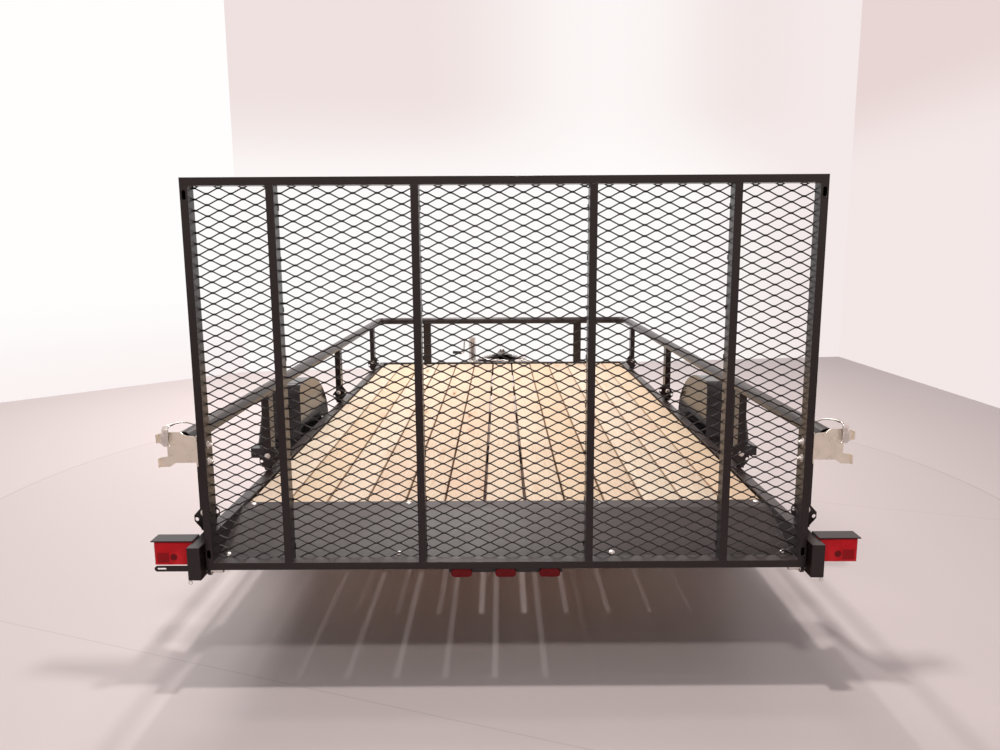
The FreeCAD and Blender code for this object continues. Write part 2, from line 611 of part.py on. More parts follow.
stud_angles = [90 + 360 * i / STUDS for i in range(STUDS)]
for degrees in stud_angles:
    stud_spot = around(DISC_FACE - DISC - 1, size.stud_circle / 2, degrees)
    vent_spot = around(DISC_FACE - DISC - 1, VENT_CIRCLE, degrees + 180 / STUDS)
    rim = rim.cut([hexagon(stud_spot, STUD_WIDTH + 2 * STUD_PLAY, DISC + 2),
                   Part.makeCylinder(VENT_RADIUS, DISC + 2, vent_spot, Vector(*ACROSS))])
rim_left = feature("rim_left", rim)
rim_right = mirror("rim_right", rim_left)

# Hub with its flange behind the disc, a bearing barrel that turns on the spindle, and a dust cap.
SPINDLE = 17
SPINDLE_PLAY = 0.1
HUB_CAP, HUB_PILOT, HUB_FLANGE, HUB_BARREL = 34, 40, 72, 44
CAP_END, CAP_START, CAP_WALL = -78, -60, 4
FLANGE_BACK, BARREL_END = DISC_FACE + 12, 30
spindle_bore = SPINDLE + SPINDLE_PLAY
hub = turn([(CAP_END, 0), (CAP_END, HUB_CAP), (CAP_START, HUB_CAP), (CAP_START, HUB_PILOT),
            (DISC_FACE, HUB_PILOT), (DISC_FACE, HUB_FLANGE), (FLANGE_BACK, HUB_FLANGE),
            (FLANGE_BACK, HUB_BARREL), (BARREL_END, HUB_BARREL), (BARREL_END, spindle_bore),
            (CAP_END + CAP_WALL, spindle_bore), (CAP_END + CAP_WALL, 0)])
studs = []
for degrees in stud_angles:
    face_spot = around(DISC_FACE, size.stud_circle / 2, degrees)
    studs.append(hexagon(face_spot - Vector(DISC, 0, 0), STUD_WIDTH, DISC))
    studs.append(hexagon(face_spot - Vector(DISC + NUT_LONG, 0, 0), NUT_WIDTH, NUT_LONG))
hub_left = feature("hub_left", hub.fuse(studs).removeSplitter())
hub_right = mirror("hub_right", hub_left)

# ---------------------------------------------------------------- axle and springs
SPINDLE_PAST, BEAM_SHORT = 68, 34
spindle_end = -size.wheel_side - SPINDLE_PAST
beam_end = -size.wheel_side + BEAM_SHORT
axle = cylinder(size.axle_tube / 2, -2 * beam_end, beam_end, axle_y, tyre_radius, ACROSS)
axle = axle.fuse(cylinder(SPINDLE, -2 * spindle_end, spindle_end, axle_y, tyre_radius, ACROSS))
axle_beam = feature("axle_beam", axle.removeSplitter())

SPRING_SEAT = 6
spring_x = -(size.inside_width + size.rail_width) / 2
spring_top = tyre_radius - size.axle_tube / 2 - SPRING_SEAT
curve_radius = (size.spring_reach ** 2 + size.spring_rise ** 2) / (2 * size.spring_rise)
curve_centre = Vector(0, axle_y, spring_top + curve_radius)
EYE_RADIUS, EYE_BORE, EYE_LAP = 15, 8, 3
eye_reach = size.spring_reach + EYE_RADIUS - EYE_LAP
# half length of each leaf along the curve, as a share of the main leaf
LEAVES = (1.0, 0.72, 0.45)


def leaf(index, share):
    inner, outer = curve_radius + index * size.leaf_thick, curve_radius + (index + 1) * size.leaf_thick
    reach = share * math.asin(size.spring_reach / curve_radius)

    def at(radius, angle):
        return curve_centre + Vector(0, radius * math.sin(angle), -radius * math.cos(angle))

    edges = [Part.Arc(at(inner, -reach), at(inner, 0), at(inner, reach)).toShape(),
             Part.LineSegment(at(inner, reach), at(outer, reach)).toShape(),
             Part.Arc(at(outer, reach), at(outer, 0), at(outer, -reach)).toShape(),
             Part.LineSegment(at(outer, -reach), at(inner, -reach)).toShape()]
    strip = Part.Face(Part.Wire(edges))
    strip.translate(Vector(spring_x - size.leaf_width / 2, 0, 0))
    return strip.extrude(Vector(size.leaf_width, 0, 0))


eye_z = spring_top + size.spring_rise
spring = leaf(0, LEAVES[0])
for index, share in enumerate(LEAVES[1:], start=1):
    spring = spring.fuse(leaf(index, share))
for side in (-1, 1):
    eye = (spring_x - size.leaf_width / 2, axle_y + side * eye_reach, eye_z)
    spring = spring.fuse(cylinder(EYE_RADIUS, size.leaf_width, *eye, ACROSS))
    spring = spring.cut(cylinder(EYE_BORE, size.leaf_width, *eye, ACROSS))
left_spring = feature("left_spring", spring.removeSplitter())
leaf_springs = group("leaf_springs", [left_spring, mirror("right_spring", left_spring)])

# Each hanger is a folded bracket under the rail with a bolt through the spring's eye.
HANGER_WALL, HANGER_TOP = 5, 4
HANGER_LOW, HANGER_LOW_HALF, HANGER_TOP_HALF = 20, 22, 30
HEAD_WIDE, HEAD_LONG = 24, 8
BOLT_PLAY = 0.2
hanger_half = size.leaf_width / 2 + 1 + HANGER_WALL
bolt_width = EYE_BORE * math.sqrt(3) - 2 * BOLT_PLAY


def hanger(side):
    x = spring_x - hanger_half
    y = axle_y + side * eye_reach
    low = eye_z - HANGER_LOW
    outside = slab([(x, y - HANGER_LOW_HALF, low), (x, y + HANGER_LOW_HALF, low),
                    (x, y + HANGER_TOP_HALF, rail_bottom), (x, y - HANGER_TOP_HALF, rail_bottom)],
                   (HANGER_WALL, 0, 0))
    inside_cheek = outside.translated(Vector(2 * hanger_half - HANGER_WALL, 0, 0))
    top = Part.makeBox(2 * hanger_half, 2 * HANGER_TOP_HALF, HANGER_TOP,
                       Vector(x, y - HANGER_TOP_HALF, rail_bottom - HANGER_TOP))
    bolt = hexagon(Vector(x, y, eye_z), bolt_width, 2 * hanger_half)
    heads = [hexagon(Vector(start, y, eye_z), HEAD_WIDE, HEAD_LONG)
             for start in (x - HEAD_LONG, spring_x + hanger_half)]
    return outside.fuse([inside_cheek, top, bolt] + heads).removeSplitter()


left_hangers = feature("left_hangers", Part.makeCompound([hanger(-1), hanger(1)]))
spring_hangers = group("spring_hangers", [left_hangers, mirror("right_hangers", left_hangers)])

# A seat between axle and spring, a tie plate below, and two U-bolts round the axle.
U_ROD = 6
TIE_THICK, TIE_PAST, TIE_AHEAD = 8, 20, 14
SEAT_HALF, SEAT_TALL = 35, 12
U_TAIL = 26
pack_low = spring_top - len(LEAVES) * size.leaf_thick
loop_half = size.axle_tube / 2 + U_ROD + 2
plate_reach = loop_half + TIE_AHEAD
spring_side = spring_x - size.leaf_width / 2
tie = Part.makeBox(size.leaf_width + 2 * TIE_PAST, 2 * plate_reach, TIE_THICK,
                   Vector(spring_side - TIE_PAST, axle_y - plate_reach, pack_low - TIE_THICK))
seat = Part.makeBox(size.leaf_width, 2 * SEAT_HALF, SEAT_TALL,
                    Vector(spring_side, axle_y - SEAT_HALF, spring_top))
seat = seat.cut(cylinder(size.axle_tube / 2, size.leaf_width, spring_side, axle_y, tyre_radius, ACROSS))
seat = seat.cut(spring)
bolts = []
ARCH_STEPS = 5
arch_angles = [math.pi * i / ARCH_STEPS for i in range(ARCH_STEPS + 1)]
for side in (-1, 1):
    x = spring_x + side * (size.leaf_width / 2 + U_ROD + 1)
    arch = [(x, axle_y - loop_half * math.cos(a), tyre_radius + loop_half * math.sin(a)) for a in arch_angles]
    tails = [(x, axle_y + end * loop_half, pack_low - U_TAIL) for end in (-1, 1)]
    bolts.append(rod(tails[:1] + arch + tails[1:], U_ROD))
left_clamp = feature("left_clamp", tie.fuse(bolts).removeSplitter())
left_seat = feature("left_seat", seat)
axle_clamps = group("axle_clamps", [left_clamp, left_seat, mirror("right_clamp", left_clamp),
                                    mirror("right_seat", left_seat)])

# ---------------------------------------------------------------- fenders
# A moulded hood: steep behind, flat on top, falling in two arcs ahead, with a step at each foot.
HOOD_REAR = -305
HOOD_CORNER = 45
FLAT_END = -130
LONG_ARC, SHORT_ARC = 500, 190
STEP_REACH = 92
STEP_TOP = 425
EDGE_ROUND = 32
EDGE_CHAMFER = 20
ARCH_LIP = 40
DRAFT = 45
hood_top = size.deck_top + size.fender_height


def hood(inset, low, x, width):
    """The hood's outline at an inset, from a height up, thickened across; also its front."""
    top = hood_top - inset
    back = HOOD_REAR + inset
    corner = HOOD_CORNER - inset
    long_arc, short_arc = LONG_ARC - inset, SHORT_ARC - inset
    long_centre = (FLAT_END, top - long_arc)
    shift = (long_arc - short_arc) * math.sqrt(0.5)
    short_centre = (long_centre[0] + shift, long_centre[1] + shift)

    def at(y, z):
        return Vector(x, axle_y + y, z)

    def bow(centre, radius, start, end):
        angles = [math.radians(degrees) for degrees in (start, (start + end) / 2, end)]
        return Part.Arc(*[at(centre[0] + radius * math.cos(a), centre[1] + radius * math.sin(a))
                          for a in angles]).toShape()

    corner_centre = (back + corner, top - corner)
    front = short_centre[0] + short_arc
    edges = [Part.LineSegment(at(back, low), at(back, top - corner)).toShape(),
             bow(corner_centre, corner, 180, 90),
             Part.LineSegment(at(back + corner, top), at(FLAT_END, top)).toShape(),
             bow(long_centre, long_arc, 90, 45),
             bow(short_centre, short_arc, 45, 0),
             Part.LineSegment(at(front, short_centre[1]), at(front, low)).toShape(),
             Part.LineSegment(at(front, low), at(back, low)).toShape()]
    return Part.Face(Part.Wire(edges)).extrude(Vector(width, 0, 0)), front


def drafted(shape, x):
    """Slope the outer side inwards above the steps; return the shape and the edges round that side."""
    lean = DRAFT / (hood_top - STEP_TOP)
    reach = 2 * LONG_ARC
    off = slab([(x - 1, axle_y - reach, STEP_TOP), (x, axle_y - reach, STEP_TOP),
                (x + DRAFT, axle_y - reach, hood_top), (x - 1, axle_y - reach, hood_top)], (0, 2 * reach, 0))
    shape = shape.cut(off)

    def on_side(edge):
        return all(abs(spot.X - x - lean * (spot.Z - STEP_TOP)) < 0.01 for spot in edge.Vertexes)

    return shape, [edge for edge in shape.Edges if on_side(edge) and edge.BoundBox.ZMax > STEP_TOP + 1]


outside_x = -size.fender_side - size.fender_width
wall = size.fender_wall
shell, hood_front = hood(0, STEP_TOP, outside_x, size.fender_width)
shell, side_edges = drafted(shell, outside_x)
shell = shell.makeFillet(EDGE_ROUND, side_edges)
hollow, _ = hood(wall, rail_bottom, outside_x + wall, size.fender_width - 2 * wall)
hollow, side_edges = drafted(hollow, outside_x + wall)
hollow = hollow.makeChamfer(EDGE_CHAMFER, side_edges)
base_start = axle_y + HOOD_REAR - STEP_REACH
base_long = hood_front - HOOD_REAR + 2 * STEP_REACH
base = Part.makeBox(size.fender_width, base_long, STEP_TOP - rail_bottom,
                    Vector(outside_x, base_start, rail_bottom))
base_hollow = Part.makeBox(size.fender_width - 2 * wall, base_long - 2 * wall, STEP_TOP - rail_bottom - wall,
                           Vector(outside_x + wall, base_start + wall, rail_bottom))
arch, _ = hood(ARCH_LIP, rail_bottom, outside_x, EDGE_ROUND + 1)
fender = shell.fuse(base).cut(hollow.fuse(base_hollow)).cut(arch)
fender_left = feature("fender_left", fender.removeSplitter())
fender_right = mirror("fender_right", fender_left)

# Angle brackets hold each fender off its side rail.
ARM_LONG, ARM_TALL, ARM_WALL = 60, 50, 5
ARM_IN, ARM_UP = 20, 20
arms = []
for y in (axle_y + HOOD_REAR + ARM_IN, axle_y + hood_front - ARM_IN - ARM_LONG):
    shelf = Part.makeBox(size.fender_side - rail_outside, ARM_LONG, ARM_WALL,
                         Vector(-size.fender_side, y, rail_bottom + ARM_UP))
    upright = Part.makeBox(ARM_WALL, ARM_LONG, ARM_TALL,
                           Vector(-rail_outside - ARM_WALL, y, rail_bottom + ARM_UP))
    arms.append(shelf.fuse(upright).removeSplitter())
left_arms = feature("left_arms", Part.makeCompound(arms))
fender_brackets = group("fender_brackets", [left_arms, mirror("right_arms", left_arms)])

# ---------------------------------------------------------------- lights
LAMP_REAR, LAMP_RISE = 50, 5
LENS_DEPTH, LENS_CHAMFER, HOUSING_DEPTH = 20, 4, 30
GUARD, GUARD_PAST, GUARD_BEHIND = 3, 6, 5
lamp_x = -rail_outside - size.lamp_width
lamp_y = rear + LAMP_REAR
lamp_z = size.rail_top - GUARD - size.lamp_height + LAMP_RISE
lens = Part.makeBox(size.lamp_width, LENS_DEPTH, size.lamp_height, Vector(lamp_x, lamp_y, lamp_z))
rear_edges = [edge for edge in lens.Edges if edge.BoundBox.YMax < lamp_y + 0.1]
left_lens = feature("left_lens", lens.makeChamfer(LENS_CHAMFER, rear_edges))
left_housing = feature("left_housing", Part.makeBox(size.lamp_width, HOUSING_DEPTH, size.lamp_height,
                                                    Vector(lamp_x, lamp_y + LENS_DEPTH, lamp_z)))
tail_light_housings = group("tail_light_housings", [left_housing, mirror("right_housing", left_housing)])
guard_long = size.lamp_width + GUARD_PAST
lamp_front = lamp_y + LENS_DEPTH + HOUSING_DEPTH
roof = Part.makeBox(guard_long, lamp_front + GUARD - lamp_y + GUARD_BEHIND, GUARD,
                    Vector(lamp_x - GUARD_PAST, lamp_y - GUARD_BEHIND, lamp_z + size.lamp_height))
backing = Part.makeBox(guard_long, GUARD, size.lamp_height + GUARD,
                       Vector(lamp_x - GUARD_PAST, lamp_front, lamp_z))
left_guard = feature("left_guard", roof.fuse(backing).removeSplitter())
lamp_guards = group("lamp_guards", [left_guard, mirror("right_guard", left_guard)])

# A slotted bar under the left lamp, for a licence plate to hang from.
BAR_REACH, BAR_HEIGHT, BAR_THICK = 130, 18, 3
BAR_AHEAD, BAR_BELOW = 15, 9
SLOT_LONG, SLOT_RADIUS, SLOT_IN = 28, 3, 8
bar_x = -rail_outside - BAR_REACH
bar_y = lamp_y + BAR_AHEAD
bar_low = lamp_z - BAR_HEIGHT - BAR_BELOW
bar_middle = bar_low + BAR_HEIGHT / 2
bar = Part.makeBox(BAR_REACH - BAR_HEIGHT / 2, BAR_THICK, BAR_HEIGHT,
                   Vector(bar_x + BAR_HEIGHT / 2, bar_y, bar_low))
bar = bar.fuse(cylinder(BAR_HEIGHT / 2, BAR_THICK, bar_x + BAR_HEIGHT / 2, bar_y, bar_middle, ALONG))
slot_ends = [bar_x + SLOT_IN + SLOT_RADIUS, bar_x + SLOT_IN + SLOT_LONG - SLOT_RADIUS]
slot = Part.makeBox(slot_ends[1] - slot_ends[0], BAR_THICK, 2 * SLOT_RADIUS,
                    Vector(slot_ends[0], bar_y, bar_middle - SLOT_RADIUS))
for x in slot_ends:
    slot = slot.fuse(cylinder(SLOT_RADIUS, BAR_THICK, x, bar_y, bar_middle, ALONG))
licence_bracket = feature("licence_bracket", bar.cut(slot).removeSplitter())

# Three marker lamps on a bar that hangs from the rear plate's lip.
MARKER_SPACING = 138
MARKER_BAR = (356, 10, 25)
MARKER_BAR_DROP, MARKER_DROP = 12, 11
MARKER_HALF, MARKER_RADIUS, MARKER_DEPTH = 20, 13, 10
lip_low = size.deck_top - size.plate_drop - size.plate_lip
marker_y = rear + size.plate_rear - MARKER_BAR[1]
marker_light_bar = feature("marker_light_bar", Part.makeBox(
    *MARKER_BAR, Vector(-MARKER_BAR[0] / 2, marker_y, lip_low - MARKER_BAR_DROP)))
lens_y = marker_y - MARKER_DEPTH
lens_z = lip_low - MARKER_DROP
lenses = []
for marker_x in (-MARKER_SPACING, 0, MARKER_SPACING):
    oval = Part.makeBox(2 * MARKER_HALF, MARKER_DEPTH, 2 * MARKER_RADIUS,
                        Vector(marker_x - MARKER_HALF, lens_y, lens_z - MARKER_RADIUS))
    for x in (marker_x - MARKER_HALF, marker_x + MARKER_HALF):
        oval = oval.fuse(cylinder(MARKER_RADIUS, MARKER_DEPTH, x, lens_y, lens_z, ALONG))
    lenses.append(oval.removeSplitter())
marker_lenses = feature("marker_lenses", Part.makeCompound(lenses))
lamp_lenses = group("lamp_lenses", [left_lens, mirror("right_lens", left_lens), marker_lenses])

# ---------------------------------------------------------------- gate hinge
hinge_y = rear + size.gate_rear + size.gate_depth / 2
HEAD_THICK, HEAD_RADIUS = 5, 11
PIN_INSIDE = 50
pin_radius = size.hinge_pin / 2
pin = cylinder(pin_radius, size.rail_width + PIN_INSIDE + 1, -rail_outside - 1, hinge_y,
               size.hinge_height, ACROSS)
pin = pin.fuse(cylinder(HEAD_RADIUS, HEAD_THICK, -rail_outside - HEAD_THICK, hinge_y,
                        size.hinge_height, ACROSS))
left_pin = feature("left_pin", pin.removeSplitter())
hinge_pins = group("hinge_pins", [left_pin, mirror("right_pin", left_pin)])

LUG_THICK, LUG_HALF = 8, 14
gate_side = size.inside_width / 2 - size.gate_gap
lug = Part.makeBox(LUG_THICK, 2 * LUG_HALF, size.gate_bottom - size.hinge_height,
                   Vector(-gate_side, hinge_y - LUG_HALF, size.hinge_height))
lug = lug.fuse(cylinder(LUG_HALF, LUG_THICK, -gate_side, hinge_y, size.hinge_height, ACROSS))
lug = lug.cut(cylinder(pin_radius + size.hinge_play, LUG_THICK, -gate_side, hinge_y, size.hinge_height, ACROSS))
lug = lug.cut(Part.makeBox(LUG_THICK, 2 * LUG_HALF, LUG_HALF,
                           Vector(-gate_side, hinge_y - LUG_HALF, size.gate_bottom)))
left_lug = feature("left_lug", lug.removeSplitter())
gate_lugs = group("gate_lugs", [left_lug, mirror("right_lug", left_lug)])

# ---------------------------------------------------------------- gate frame
# middle of each upright from the centre line; the outer pair is set by the gate's width
UPRIGHTS = ("252", "658", "(inside_width / 2 - gate_gap - gate_tube / 2)")
upright_pieces = []
for i, upright_x in enumerate(UPRIGHTS):
    outermost = i == len(UPRIGHTS) - 1
    upright = profile(f"upright_{i + 1}", "XY", tube_outline("gate_tube", "gate_depth", "gate_wall"),
                      "gate_height - gate_tube" if outermost else "gate_height - 2 * gate_tube")
    upright_pieces.append(place(upright, f"-{upright_x} - gate_tube / 2", "gate_rear",
                                "gate_bottom" if outermost else "gate_bottom + gate_tube"))

# The outer pair has an oval slot low down and one near the top, in the rear wall.
GATE_SLOT_WIDE, GATE_SLOT_TALL = 11, 27
SLOT_FROM_BOTTOM, SLOT_FROM_TOP = 50, 48
slot_x = -gate_side + size.gate_tube / 2
slot_y = rear + size.gate_rear - size.gate_wall
straight = GATE_SLOT_TALL - GATE_SLOT_WIDE
slot_pieces = []
for z in (size.gate_bottom + SLOT_FROM_BOTTOM, size.gate_bottom + size.gate_height - SLOT_FROM_TOP):
    slot_pieces.append(Part.makeBox(GATE_SLOT_WIDE, 2 * size.gate_wall, straight,
                                    Vector(slot_x - GATE_SLOT_WIDE / 2, slot_y, z - straight / 2)))
    for end_z in (z - straight / 2, z + straight / 2):
        slot_pieces.append(cylinder(GATE_SLOT_WIDE / 2, 2 * size.gate_wall, slot_x, slot_y, end_z, ALONG))
gate_slots = feature("gate_slots", slot_pieces[0].fuse(slot_pieces[1:]))
upright_pieces[-1] = cut("slotted_upright", upright_pieces[-1], gate_slots)
left_uprights = group("left_uprights", upright_pieces)
gate_uprights = group("gate_uprights", [left_uprights, mirror("right_uprights", left_uprights)])
gate_top_rail = place(
    profile("gate_top_rail", "YZ", tube_outline("gate_depth", "gate_tube", "gate_wall"),
            "inside_width - 2 * gate_gap"),
    "-inside_width / 2 + gate_gap", "gate_rear", "gate_bottom + gate_height - gate_tube")
gate_bottom_rail = place(
    profile("gate_bottom_rail", "YZ", tube_outline("gate_depth", "gate_tube", "gate_wall"),
            "inside_width - 2 * gate_gap - 2 * gate_tube"),
    "-inside_width / 2 + gate_gap + gate_tube", "gate_rear", "gate_bottom")

# ---------------------------------------------------------------- gate mesh
# Expanded metal: two runs of parallel strands, crossing at the corners of the diamonds.
MESH_EDGE = 4


def clip(corners, z_low, z_high):
    """Trim a convex outline to a band of heights."""
    for limit, keep in ((z_low, 1), (z_high, -1)):
        result = []
        for (x0, z0), (x1, z1) in zip(corners, corners[1:] + corners[:1]):
            inside0, inside1 = keep * (z0 - limit) >= 0, keep * (z1 - limit) >= 0
            if inside0:
                result.append((x0, z0))
            if inside0 != inside1:
                share = (limit - z0) / (z1 - z0)
                result.append((x0 + share * (x1 - x0), limit))
        corners = result
    return corners


def strands(direction, y):
    """One run of strands, trimmed to the gate; direction is +1 for rising to the right."""
    x_low, x_high = -gate_side + MESH_EDGE, gate_side - MESH_EDGE
    z_low, z_high = size.gate_bottom + MESH_EDGE, size.gate_bottom + size.gate_height - MESH_EDGE
    rise = direction * size.mesh_short / size.mesh_long
    tall = size.strand * math.sqrt(1 + rise * rise)
    middle_z = (z_low + z_high) / 2
    span = abs(rise) * x_high + (z_high - z_low) / 2
    count = int(span // size.mesh_short)
    bars = []
    for i in range(-count, count + 1):
        base_z = middle_z + i * size.mesh_short
        corners = []
        for z_offset, order in ((-tall / 2, (x_low, x_high)), (tall / 2, (x_high, x_low))):
            corners += [(x, base_z + rise * x + z_offset) for x in order]
        trimmed = clip(corners, z_low, z_high)
        if len(trimmed) > 2:
            bars.append(slab([(x, y, z) for x, z in trimmed], (0, size.mesh_layer, 0)))
    return Part.makeCompound(bars)


mesh_y = rear + size.gate_rear + size.gate_depth
gate_mesh_rising = feature("gate_mesh_rising", strands(1, mesh_y))
gate_mesh_falling = feature("gate_mesh_falling", strands(-1, mesh_y + size.mesh_layer))

# ---------------------------------------------------------------- gate latches
# A plate on each outer upright reaches behind the top rail's open end, with a bent lip at its outer edge.
LATCH, LATCH_GAP = 3, 5
LEG_LOW, LEG_HIGH, LEG_REACH = 724, 816, 40
LIP_REACH = 12
latch_rear = rear + size.pipe_rear - LATCH_GAP - LATCH
# corners of the plate behind the pipe: distance outside the gate, height
LATCH_OUTLINE = ((0, 736), (66, 736), (84, 724), (114, 724), (114, 752), (88, 756), (88, 786), (116, 798),
                 (116, 824), (88, 829), (47, 829), (32, 819), (8, 816), (0, 808))
# lips: distance outside the gate, bottom, top
LATCH_LIPS = ((114, 724, 752), (116, 798, 824))
plate = slab([(-gate_side - x, latch_rear, z) for x, z in LATCH_OUTLINE], (0, LATCH, 0))
leg = Part.makeBox(LATCH, rear + size.gate_rear + LEG_REACH - latch_rear, LEG_HIGH - LEG_LOW,
                   Vector(-gate_side - LATCH, latch_rear, LEG_LOW))
lips = [Part.makeBox(LATCH, LIP_REACH, high - low, Vector(-gate_side - x, latch_rear - LIP_REACH + LATCH, low))
        for x, low, high in LATCH_LIPS]
left_latch = feature("left_latch", plate.fuse([leg] + lips).removeSplitter())
gate_latches = group("gate_latches", [left_latch, mirror("right_latch", left_latch)])

# ---------------------------------------------------------------- check and write
SUBPARTS = [
    side_rail_left, side_rail_right, front_crossmember, crossmembers, rear_plate, deck_planks,
    top_rail_left, top_rail_right, front_rail, side_posts, front_posts, post_feet,
    tongue_left, tongue_right, coupler, coupler_latch, jack_bracket, jack_tube, jack_crank, jack_leg,
    tyre_left, tyre_right, rim_left, rim_right, hub_left, hub_right,
    axle_beam, leaf_springs, spring_hangers, axle_clamps, fender_left, fender_right, fender_brackets,
    tail_light_housings, lamp_guards, licence_bracket, marker_light_bar, lamp_lenses,
    hinge_pins, gate_lugs, gate_uprights, gate_top_rail, gate_bottom_rail,
    gate_mesh_rising, gate_mesh_falling, gate_latches]

doc.recompute()
failed = [item.Label for item in doc.Objects if {"Invalid", "Error"} & set(item.State)]
if failed:
    raise RuntimeError(f"these objects did not build: {failed}")
os.makedirs("parts", exist_ok=True)
for piece in SUBPARTS:
    if piece.Shape.isNull() or not piece.Shape.isValid():
        raise RuntimeError(f"{piece.Label} is not a valid shape")
    piece.Shape.exportStep(f"parts/{piece.Label}.step")
    bounds = piece.Shape.BoundBox
    print(f"{piece.Label:22s} solids {len(piece.Shape.Solids):3d}  x {bounds.XMin:8.1f} {bounds.XMax:8.1f}"
          f"  y {bounds.YMin:8.1f} {bounds.YMax:8.1f}  z {bounds.ZMin:7.1f} {bounds.ZMax:7.1f}")
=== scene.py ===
import math
import random

import bmesh
import bpy
from mathutils import Matrix, Vector


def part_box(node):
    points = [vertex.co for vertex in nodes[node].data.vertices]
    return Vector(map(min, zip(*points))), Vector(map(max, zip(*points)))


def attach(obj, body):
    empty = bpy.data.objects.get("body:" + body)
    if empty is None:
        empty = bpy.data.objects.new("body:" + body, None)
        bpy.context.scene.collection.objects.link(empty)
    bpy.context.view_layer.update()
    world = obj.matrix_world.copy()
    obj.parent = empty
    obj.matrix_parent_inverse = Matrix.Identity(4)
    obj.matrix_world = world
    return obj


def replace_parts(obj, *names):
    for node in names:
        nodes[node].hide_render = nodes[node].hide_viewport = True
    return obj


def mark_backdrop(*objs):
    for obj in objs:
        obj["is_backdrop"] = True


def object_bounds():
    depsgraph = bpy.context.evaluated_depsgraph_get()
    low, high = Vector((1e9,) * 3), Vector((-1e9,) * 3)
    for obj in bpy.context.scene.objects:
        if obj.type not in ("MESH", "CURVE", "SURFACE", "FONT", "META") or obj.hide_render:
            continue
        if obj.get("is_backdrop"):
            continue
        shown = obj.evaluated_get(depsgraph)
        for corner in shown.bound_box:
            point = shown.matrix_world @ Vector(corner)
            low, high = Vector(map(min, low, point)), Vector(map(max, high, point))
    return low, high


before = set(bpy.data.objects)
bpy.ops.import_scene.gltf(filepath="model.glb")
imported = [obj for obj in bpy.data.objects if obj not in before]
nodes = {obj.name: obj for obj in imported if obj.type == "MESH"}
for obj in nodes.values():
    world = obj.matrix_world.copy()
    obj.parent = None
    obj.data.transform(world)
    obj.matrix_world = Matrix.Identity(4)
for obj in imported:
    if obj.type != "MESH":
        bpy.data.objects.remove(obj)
cad_low, cad_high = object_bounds()

# ---------------------------------------------------------------- camera
# A person stands behind the closed gate and looks level along the deck, a little down.
# The lens is wide, so the gate fills the frame and the deck runs away quickly.
EYE = Vector((-0.012, cad_low.y - 2.1845, 1.359))
LENS = 27.77
LOOK_DOWN, LEAN, TURN = math.radians(9.36), math.radians(0.31), math.radians(0.01)
camera_data = bpy.data.cameras.new("camera")
camera_data.sensor_width = 36.0
camera_data.lens = LENS
camera = bpy.data.objects.new("camera", camera_data)
camera.location = EYE
camera.rotation_euler = (math.pi / 2 - LOOK_DOWN, LEAN, TURN)
bpy.context.scene.collection.objects.link(camera)
bpy.context.scene.camera = camera

# ---------------------------------------------------------------- studio
# A white room with a pale floor and a round turntable let into it.
# Small lamps hang from the ceiling, so the deck's joints draw bright lines on the floor below.


class Signal:
    """An output in a material's node tree; arithmetic on signals and numbers adds Math nodes."""

    def __init__(self, tree, socket=None):
        self.tree = tree
        self.socket = socket

    def node(self, kind, settings, inputs, output=0):
        """Add one node, give it its settings and then its inputs, and return one of its outputs."""
        added = self.tree.nodes.new(kind)
        for name, value in settings.items():
            setattr(added, name, value)
        for name, value in inputs.items():
            if isinstance(value, Signal):
                self.tree.links.new(value.socket, added.inputs[name])
            else:
                added.inputs[name].default_value = value
        return Signal(self.tree, added.outputs[output])

    def math(self, operation, *values):
        """One Math node."""
        return self.node("ShaderNodeMath", {"operation": operation}, dict(enumerate(values)))

    def __add__(self, other):
        return self.math("ADD", self, other)

    def __sub__(self, other):
        return self.math("SUBTRACT", self, other)

    def __mul__(self, other):
        return self.math("MULTIPLY", self, other)

    def __rsub__(self, other):
        return self.math("SUBTRACT", other, self)

    def __abs__(self):
        return self.math("ABSOLUTE", self)

    def __lt__(self, other):
        return self.math("LESS_THAN", self, other)

    def __gt__(self, other):
        return self.math("GREATER_THAN", self, other)

    __radd__ = __add__
    __rmul__ = __mul__


def finish(name, colour, roughness, metallic=0.0, **more):
    """A material with these constants on its shader; returns it, its shader and a signal to build on."""
    material = bpy.data.materials.new(name)
    material.use_nodes = True
    shader = material.node_tree.nodes["Principled BSDF"]
    shader.inputs["Base Color"].default_value = (*colour, 1)
    shader.inputs["Roughness"].default_value = roughness
    shader.inputs["Metallic"].default_value = metallic
    for socket, value in more.items():
        shader.inputs[socket.replace("_", " ")].default_value = value
    material.diffuse_color = (*colour, 1)
    return material, shader, Signal(material.node_tree)


def feed(signal, shader, socket):
    """Join a signal to one of the shader's inputs."""
    signal.tree.links.new(signal.socket, shader.inputs[socket])


def blend_colour(factor, first, second):
    """One colour over another by a factor from 0 to 1."""
    inputs = {0: factor}
    for index, colour in ((6, first), (7, second)):
        inputs[index] = colour if isinstance(colour, Signal) else (*colour, 1)
    return factor.node("ShaderNodeMix", {"data_type": "RGBA"}, inputs, 2)


def noise(start, place, scale, detail=3.0, roughness=0.5, output=0):
    """Smooth noise from 0 to 1."""
    inputs = {"Vector": place, "Scale": scale, "Detail": detail, "Roughness": roughness}
    return start.node("ShaderNodeTexNoise", {}, inputs, output)


def spot_on(start):
    """The place on the object in metres, and its three parts."""
    spot = start.node("ShaderNodeTexCoord", {}, {}, 3)
    return spot, *[start.node("ShaderNodeSeparateXYZ", {}, {0: spot}, axis) for axis in range(3)]


def vector(x, y, z):
    """A vector from three values, of which the first is a signal."""
    return x.node("ShaderNodeCombineXYZ", {}, {0: x, 1: y, 2: z})


